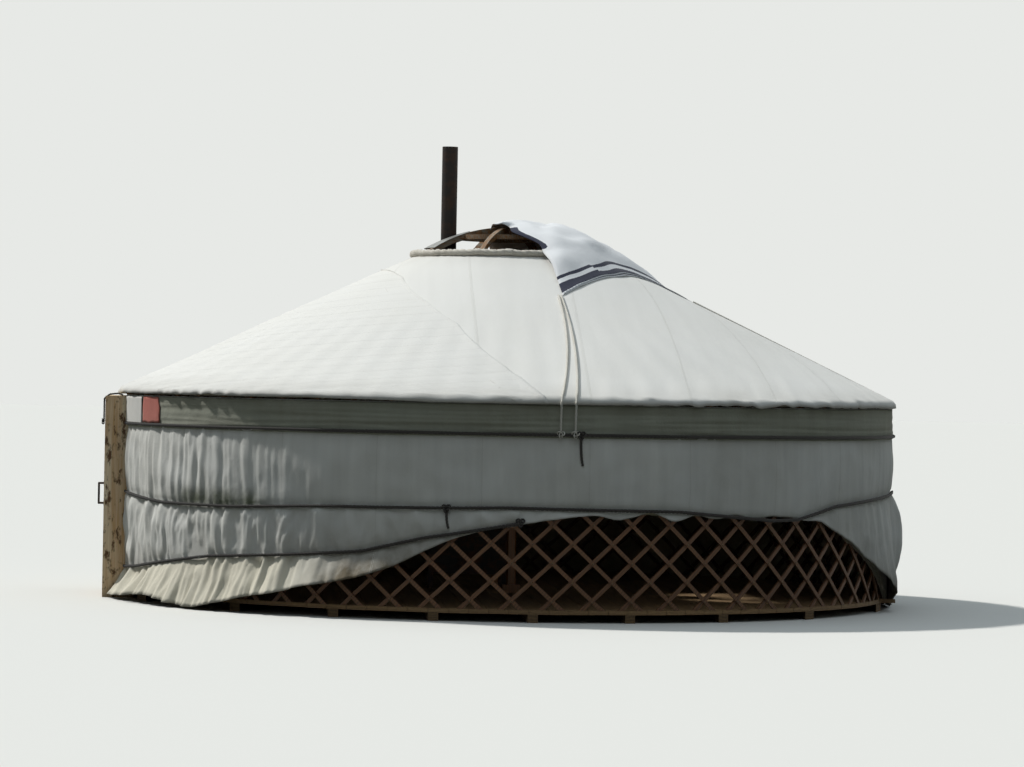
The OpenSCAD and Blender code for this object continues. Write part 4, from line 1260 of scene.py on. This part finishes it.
def addWhiteEnds():
    # the roof canvas's corner flaps hang down over the band beside the door
    low, high, radius = bandLow + 0.006, bandTop - 0.004, bandR + patch["over"]
    span = degrees(patch["white"] / radius)
    wave, notch = patch["whiteEdge"]
    meshes = []
    for start in (wallFrom + 0.15, wallTo - 0.15 - span):
        def place(s, t):
            angle = start + span * s
            arc = radians(angle) * radius
            edge = low - wave * ripple(arc * 6, 0, 112.0) + notch * abs(ripple(arc * 15, 0, 113.0))
            z = edge + (high - edge) * t
            out = patch["whiteWave"] * ripple(arc * 13, z * 3, 114.0) + 0.004
            return polar(angle, radius + max(0.001, out), z), (arc, z), 0.0, 0.15
        meshes.append(clothGrid("white end", 26, 14, place, fromAxis)[0])
    piece = newPiece("whiteEndFlaps", joined("whiteEnds", meshes), roofCloth, "house")
    thicken(piece, patch["thickness"])


addBand()
addRedCloth()
addWhiteEnds()
print("band, red cloth and white flaps placed")


# Wall ropes with their knots, and the line over the door post

def girth(start, end, radius, height, step=1.2):
    # a wall rope from one angle to another; height(angle) gives its path
    count = round((end - start) / step)
    angles = [start + (end - start) * i / count for i in range(count + 1)]
    return layRope([polar(a, radius, height(a)) for a in angles], wallRopes["diameter"])


def addWallRopes():
    ends = degrees((wallRopes["diameter"] / 2 + 0.0005) / wallR)
    start, end = wallFrom + ends, wallTo - ends
    lifted = layout["liftedFrom"]
    wander = wallRopes["wander"]
    meshes = [girth(start, end, upperRopeR, lambda a: upperRopeZ + wander * ripple(a * 0.07, 0, 120.0)),
              girth(start, end, lowerRopeR, middleRopeZ),
              girth(start, lifted, lowerRopeR, lowerRopeZ),
              girth(layout["liftedTo"], end, lowerRopeR, lambda a: layout["lowerBack"])]
    middle = wallRopes["middleKnot"]
    for angle, radius, z in ((wallRopes["upperKnot"], upperRopeR, upperRopeZ),
                             (middle, lowerRopeR, middleRopeZ(middle)),
                             (lifted, lowerRopeR, lowerRopeZ(lifted) + 0.01)):
        meshes.append(knot(polar(angle, radius + wallRopes["knotOut"], z), polar(angle, 1, 0),
                           wallRopes["knotSize"], wallRopes["knotRope"]))
    newPiece("wallHairRopes", joined("wallRopes", meshes), hairRope, "house", ["wall_ropes"])


jambRope = {"diameter": 0.014, "inset": 0.040, "out": 0.010, "fromWall": -2.935, "knotSize": 0.022,
            "knotRope": 0.010}


def addJambRope():
    # the eave line is carried over the door post and hitched to its face
    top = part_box("door_jambs")[1].z
    x, face = jambOut - jambRope["inset"], jambFace - jambRope["out"]
    points = [Vector((x + 0.06, jambRope["fromWall"], bandTop + 0.004)),
              Vector((x + 0.02, jambRope["fromWall"] - 0.035, top + 0.020)),
              Vector((x, jambFace + 0.03, top + 0.012)), Vector((x, face, top - 0.020)),
              Vector((x - 0.004, face, top - 0.10)), Vector((x + 0.004, face, top - 0.19))]
    meshes = [layRope(points, jambRope["diameter"], step=0.7),
              knot(points[-1] + Vector((0, -0.006, 0)), Vector((0, -1, 0)), jambRope["knotSize"],
                   jambRope["knotRope"])]
    newPiece("jambRope", joined("jambRope", meshes), hairRope, "house")


addWallRopes()
addJambRope()
print("wall ropes tied")


# The crown cloth: a square folded corner to corner over the back of the crown

crown = {
    "side": 2.0,
    "foldMid": 0.130,  # where the fold lies behind the middle, there and at its corners
    "foldEnd": 0.280,
    "foldDips": ((0.18, -0.74, -0.42), (0.11, -0.34, -0.06)),  # it comes forward to one side of the hub
    "upperBack": 0.045,  # the upper half's corner lies this much short of the lower one's
    "puff": 0.085,
    "hubPuff": 0.046,
    "thickness": 0.0025,
    "cell": 0.036,
    "spokeIn": 0.040,
    "domeRise": 0.190,
    "spokeDepth": 0.020,
    "spokes": 8,
    "sag": 0.022,  # between two spokes
    "ringSlope": 0.75,  # how steeply it leaves the ring
    "foldWave": 0.012,
    "foldUp": 0.008,  # how much higher the upper half lies
    "foldRound": 0.004,
    "creases": (0.006, 0.010),  # small and broad
    "pulled": 0.008,
    "rope": 0.017,
    "ropeUp": 0.012,
    "ropeEnds": (5.2, 3.2),  # degrees from the side where a corner's two ropes reach the eave
    "ropeApart": 0.8,
    "ropeSteps": 24,
    "knotSize": 0.028,
    "knotRope": 0.010,
}
crownHalf = crown["side"] / sqrt(2)
domeR = ((crownR - crown["spokeIn"]) ** 2 + crown["domeRise"] ** 2) / 2 / crown["domeRise"]
domeZ = ringTop + crown["domeRise"] - domeR
clothR = domeR + crown["spokeDepth"] + 0.0065


def crownDrape(x, y):
    # height of a cloth laid over the dome, the ring and the roof
    r = sqrt(x * x + y * y)
    heights = [-1]
    if r > coneInner:
        heights.append(coneZ(r) + 0.004)
    if r < crownR + 0.06:
        pitch = 360 / crown["spokes"]
        # 1 on a spoke, 0 between two
        rib = abs(((degrees(atan2(y, x)) - pitch / 2) % pitch) - pitch / 2) / (pitch / 2)
        sag = crown["sag"] * (1 - rib ** 2) * between(r, 0.12, 0.3, 0.6, 0.74)
        heights.append(domeZ + sqrt(max(0.01, clothR ** 2 - r * r)) - sag)
    if r > crownR - 0.02:
        heights.append(domeZ + sqrt(clothR ** 2 - crownR ** 2) - (r - crownR) * crown["ringSlope"])
    return max(heights)


def crownFold(p):
    # how far behind the middle the fold lies
    foldY = crown["foldMid"] + (crown["foldEnd"] - crown["foldMid"]) * smooth(abs(p), 0.4, crownHalf)
    for depth, start, full in crown["foldDips"]:
        foldY -= depth * between(-p, start, full, 0.75, 1.30)
    return foldY + crown["foldWave"] * ripple(p * 3, 0, 130.0)


def crownPull(x, y):
    # creases that run out to the two tied corners
    corner = x - crownHalf if x > 0 else x + crownHalf
    tension = ripple(degrees(atan2(y - crown["foldEnd"], corner)) * 0.16, 0, 133.0)
    near = 1 - smooth(min(abs(x - crownHalf), abs(x + crownHalf)), 0.1, 0.9)
    small, broad = crown["creases"]
    loose = small * ripple(x * 6, y * 6, 131.0) + broad * ripple(x * 1.7, y * 1.7, 132.0)
    return loose + crown["pulled"] * tension * near


def crownPuff(x, y, far):
    # air under the loose cloth behind the hub, and beside it
    behind = crown["puff"] * between(far, 0.10, 0.45, 0.95, 1.36) * smooth(y, 0.04, 0.34)
    behind *= 1 + 0.35 * ripple(x * 4.0, y * 4.0, 134.0)
    return max(behind, crown["hubPuff"] * smooth(y, -0.32, 0.06) * (1 - smooth(far, 0.70, 1.00)))


def addCrownCloth():
    bm = bmesh.new()
    count = round(2 * crownHalf / crown["cell"])
    bmesh.ops.create_grid(bm, x_segments=count, y_segments=count, size=crownHalf)
    for turn in (45, 135, 225, 315):  # cut the grid to the square cloth, whose corners lie on the axes
        out = polar(turn, 1, 0)
        bmesh.ops.bisect_plane(bm, geom=bm.verts[:] + bm.edges[:] + bm.faces[:],
                               plane_co=out * crown["side"] / 2, plane_no=out, clear_outer=True, dist=0.0005)
    uv = bm.loops.layers.uv.new("cloth")
    trim = bm.verts.layers.float.new("trim")
    bm.verts.layers.float.new("stain")
    bm.verts.layers.float.new("grimeAndShade")
    foldStripe = bm.verts.layers.float.new("foldStripe")
    bm.verts.index_update()
    for face in bm.faces:
        for loop in face.loops:
            loop[uv].uv = loop.vert.co.xy
    for vert in bm.verts:
        p, q = vert.co.x, vert.co.y
        upper = q < 0  # this half is folded back over the other
        reach = abs(q)
        toEdge = (crownHalf - abs(p) - reach) / sqrt(2)
        foldY = crownFold(p)
        stretch = (crownHalf - foldY - (crown["upperBack"] if upper else 0.0)) / crownHalf
        x, y = p * (1 - 0.02 * abs(p) / crownHalf), foldY + reach * stretch
        far = sqrt(x * x + y * y)
        pull = crownPull(x, y) * smooth(far, 0.10, 0.45)
        puff = crownPuff(x, y, far) * smooth(toEdge, 0.0, 0.30)
        over = crown["foldUp"] * smooth(reach, 0.0, 0.03) if upper else 0.0
        z = crownDrape(x, y) + puff + max(0.0, pull) + over
        if reach < 1e-4:  # the fold itself is rounded
            z += crown["foldRound"]
        vert.co = Vector((x, y, z))
        vert[foldStripe] = (1 - smooth(reach, 0.05, 0.10)) * between(p, 0.32, 0.38, 0.72, 0.78)
        vert[trim] = toEdge * (1 - 0.45 * smooth(abs(p), 0.95, 1.30))
    bm.normal_update()
    piece = newPiece("crownCover", toMesh(bm, "crownCloth"), crownCloth, "house", ["crown_cover"])
    thicken(piece, crown["thickness"], 1.0)


addCrownCloth()
print("crown cloth laid")


def addCrownRopes():
    # two from each tied corner and one from the back, down the roof to the upper wall rope
    corner = degrees(atan2(crown["foldEnd"], sqrt(crownHalf ** 2 - crown["foldEnd"] ** 2)))
    first = (crownHalf - coneInner) / cos(roofSlope)
    last = roofLength + roofCanvas["hang"] * 0.7
    steps, lift = crown["ropeSteps"], crown["ropeUp"]
    back, front = crown["ropeEnds"]
    beside = corner - crown["ropeApart"]
    meshes = []
    for a0, a1 in ((corner, back), (beside, front), (180 - corner, 180 - back), (180 - beside, 180 - front),
                   (90, 90)):
        points = []
        for i in range(steps + 1):
            radius, z, slope = roofLine(first + (last - first) * i / steps)
            angle = a0 + (a1 - a0) * i / steps
            points.append(polar(angle, radius + lift * sin(slope), z + lift * cos(slope)))
        points.append(polar(a1, bandR + 0.020, upperRopeZ + 0.026))
        meshes.append(layRope(points, crown["rope"], step=0.7))
        meshes.append(knot(polar(a1, bandR + 0.026, upperRopeZ + 0.004), polar(a1, 1, 0), crown["knotSize"],
                           crown["knotRope"]))
    newPiece("crownTieRopes", joined("crownTies", meshes), woolRope, "house", ["crown_ropes"])


addCrownRopes()
print("crown ropes tied")


# Floor boards, laid across the door's direction

boards = {"width": 0.140, "gap": 0.003, "thickness": 0.030, "radius": 2.903, "from": -2.826, "joint": 0.002,
          "uneven": 0.0006}


def boardTone(tree, colour):
    return darkened(tree, colour, addNode(tree, "Attribute", output="Fac", attribute_name="tone"))


def addFloorBoards():
    bm = bmesh.new()
    tone = bm.verts.layers.float.new("tone")
    y = boards["from"]
    row = 0
    while y < boards["radius"] - 0.02:
        far = min(y + boards["width"] - boards["gap"], boards["radius"] - 0.004)
        rim = [y + (far - y) * i / 6 for i in range(7)]
        right = [(sqrt(boards["radius"] ** 2 - v * v), v) for v in rim]
        outline = right + [(-x, v) for x, v in reversed(right)]
        seam = -1.4 + 2.8 * (0.5 + 0.5 * sin(row * 2.4)) * 0.8  # where two lengths of board meet
        for side in (-1, 1):
            end = seam + side * boards["joint"] / 2
            height = floorTop - boards["uneven"] * (1 + sin(row * 5.1 + side))
            corners = []
            for x, v in outline:
                corners.append(bm.verts.new((max(x, end) if side > 0 else min(x, end), v, height)))
                corners[-1][tone] = 0.86 + 0.14 * sin(row * 12.9 + side * 4.7)
            bottom = bmesh.ops.extrude_face_region(bm, geom=[bm.faces.new(corners)])
            for item in bottom["geom"]:
                if isinstance(item, bmesh.types.BMVert):
                    item.co.z -= boards["thickness"]
        y += boards["width"]
        row += 1
    bmesh.ops.remove_doubles(bm, verts=bm.verts, dist=0.00005)
    bmesh.ops.recalc_face_normals(bm, faces=bm.faces)
    newPiece("floorBoardRows", toMesh(bm, "floorBoards"), boardWood, "house", ["floor_boards"],
             smoothed=False)


recolour(boardWood, boardTone)
addFloorBoards()


# Rawhide thongs tie the laths at every crossing

thong = {"size": 0.008, "height": 0.0035, "top": 1.490, "step": 0.1344, "rows": 11, "thickness": 0.024}


def addThongs():
    bm = bmesh.new()
    flatten = Matrix.Scale(thong["height"] / thong["size"], 4, Vector((1, 0, 0)))
    for section in range(layout["sections"]):
        first = wallFrom + section * poleStep * layout["heads"]
        for row in range(thong["rows"]):
            for i in range(layout["heads"] + row % 2):
                angle = first + (i + (0.0 if row % 2 else 0.5)) * poleStep
                z = thong["top"] - row * thong["step"]
                for radius in (layout["latticeR"], layout["latticeR"] + thong["thickness"]):
                    knob = bmesh.ops.create_icosphere(bm, subdivisions=1, radius=thong["size"])["verts"]
                    spot = Matrix.Translation(polar(angle, radius, z))
                    turn = Matrix.Rotation(radians(angle), 4, "Z")
                    bmesh.ops.transform(bm, matrix=spot @ turn @ flatten, verts=knob)
    newPiece("lathThongs", toMesh(bm, "thongs"), rawhide, "house")


addThongs()
print("floor boards laid and laths tied")


# Wooden and metal pieces keep their solids and get their finish and softened edges

edges = {"beam": 0.004, "leaf": 0.003, "panel": 0.001, "bead": 0.004, "board": 0.0025}


def dress(names, material, edge=0.0):
    for name in names:
        piece = nodes[name]
        piece.data.materials.clear()
        piece.data.materials.append(material)
        if edge:
            soften(piece, edge)


dress(["lattice_%d" % (i + 1) for i in range(5)], lathWood)
dress(["roof_poles_%d" % (i + 1) for i in range(5)] + ["roof_poles_door"], poleWood)
dress(["crown_ring"], ringWood)
dress(["crown_spokes"], spokeWood)
dress(["crown_posts"], postWood, edges["beam"])
dress(["floor_bearers"], bearerWood, edges["beam"])
dress(["door_jambs"], jambWood, edges["beam"])
dress(["door_lintel", "door_sill"], railWood, edges["beam"])
dress(["door_leaf"], leafWood, edges["leaf"])
dress(["door_panels"], bluePaint, edges["panel"])
dress(["door_pintles", "door_straps", "door_handle"], forgedIron)
dress(["stove"], stoveSteel)
dress(["stovepipe"], sootedSteel)
dress(["pipe_plate"], zincPlate)


# Door: boards in the panels, beads round them, and nails in the frame

door = {
    "front": 3.0653,
    "panelFace": 3.0533,
    "bead": 0.014,
    "beadOut": 0.010,
    "boardOut": 0.006,
    "boards": 7,
    "boardGap": 0.002,
    "x": (-0.313, 0.311),
    "rows": ((0.249, 0.431), (0.463, 1.1394), (1.1714, 1.3434)),
    "nailFlat": 0.45,  # of a ball
    "nail": 0.005,
    "nailX": (-0.430, -0.336, 0.334, 0.428),
    "nailZ": (0.160, 0.226, 0.447, 1.155, 1.366, 1.396),
    "frameNail": 0.006,
    "frameNailX": 0.497,
    "frameNailZ": (0.06, 0.11, 1.44, 1.49),
}


def box(bm, low, high):
    made = bmesh.ops.create_cube(bm, size=1.0)["verts"]
    size = [b - a for a, b in zip(low, high)]
    middle = [(a + b) / 2 for a, b in zip(low, high)]
    bmesh.ops.transform(bm, matrix=Matrix.Translation(middle) @ Matrix.Diagonal((*size, 1)), verts=made)


def addTrim(name, bm, material, body, smoothed=True):
    bmesh.ops.recalc_face_normals(bm, faces=bm.faces)
    return newPiece(name, toMesh(bm, name), material, body, smoothed=smoothed)


def addDoorBeads():
    bm = bmesh.new()
    x0, x1 = door["x"]
    w = door["bead"]
    back, face = seat - door["panelFace"], -door["panelFace"] - door["beadOut"]
    for low, high in door["rows"]:
        box(bm, (x0, face, low), (x0 + w, back, high))
        box(bm, (x1 - w, face, low), (x1, back, high))
        box(bm, (x0 + w, face, low), (x1 - w, back, low + w))
        box(bm, (x0 + w, face, high - w), (x1 - w, back, high))
    soften(addTrim("doorBeads", bm, leafWood, "door", False), edges["bead"], 3)


def addPanelBoards():
    # narrow boards with rounded edges, nailed on the panels
    bm = bmesh.new()
    x0, x1 = door["x"][0] + door["bead"], door["x"][1] - door["bead"]
    step = (x1 - x0) / door["boards"]
    gap = door["boardGap"] / 2
    for low, high in door["rows"]:
        for i in range(door["boards"]):
            box(bm, (x0 + i * step + gap, -door["panelFace"] - door["boardOut"], low + door["bead"] + gap),
                (x0 + (i + 1) * step - gap, -door["panelFace"] + 0.0003, high - door["bead"] - gap))
    soften(addTrim("doorPanelBoards", bm, bluePaint, "door", False), edges["board"])


def addNails(name, body, size, spots):
    bm = bmesh.new()
    flat = Matrix.Scale(door["nailFlat"], 4, Vector((0, 1, 0)))
    for spot in spots:
        head = bmesh.ops.create_uvsphere(bm, u_segments=10, v_segments=6, radius=size)["verts"]
        bmesh.ops.transform(bm, matrix=Matrix.Translation(spot) @ flat, verts=head)
    addTrim(name, bm, forgedIron, body)


addDoorBeads()
addPanelBoards()
addNails("doorNails", "door", door["nail"],
         [(x, -door["front"], z) for x in door["nailX"] for z in door["nailZ"]])
addNails("frameNails", "house", door["frameNail"],
         [(side * door["frameNailX"], jambFace, z) for side in (-1, 1) for z in door["frameNailZ"]])
print("wood and metal finished")
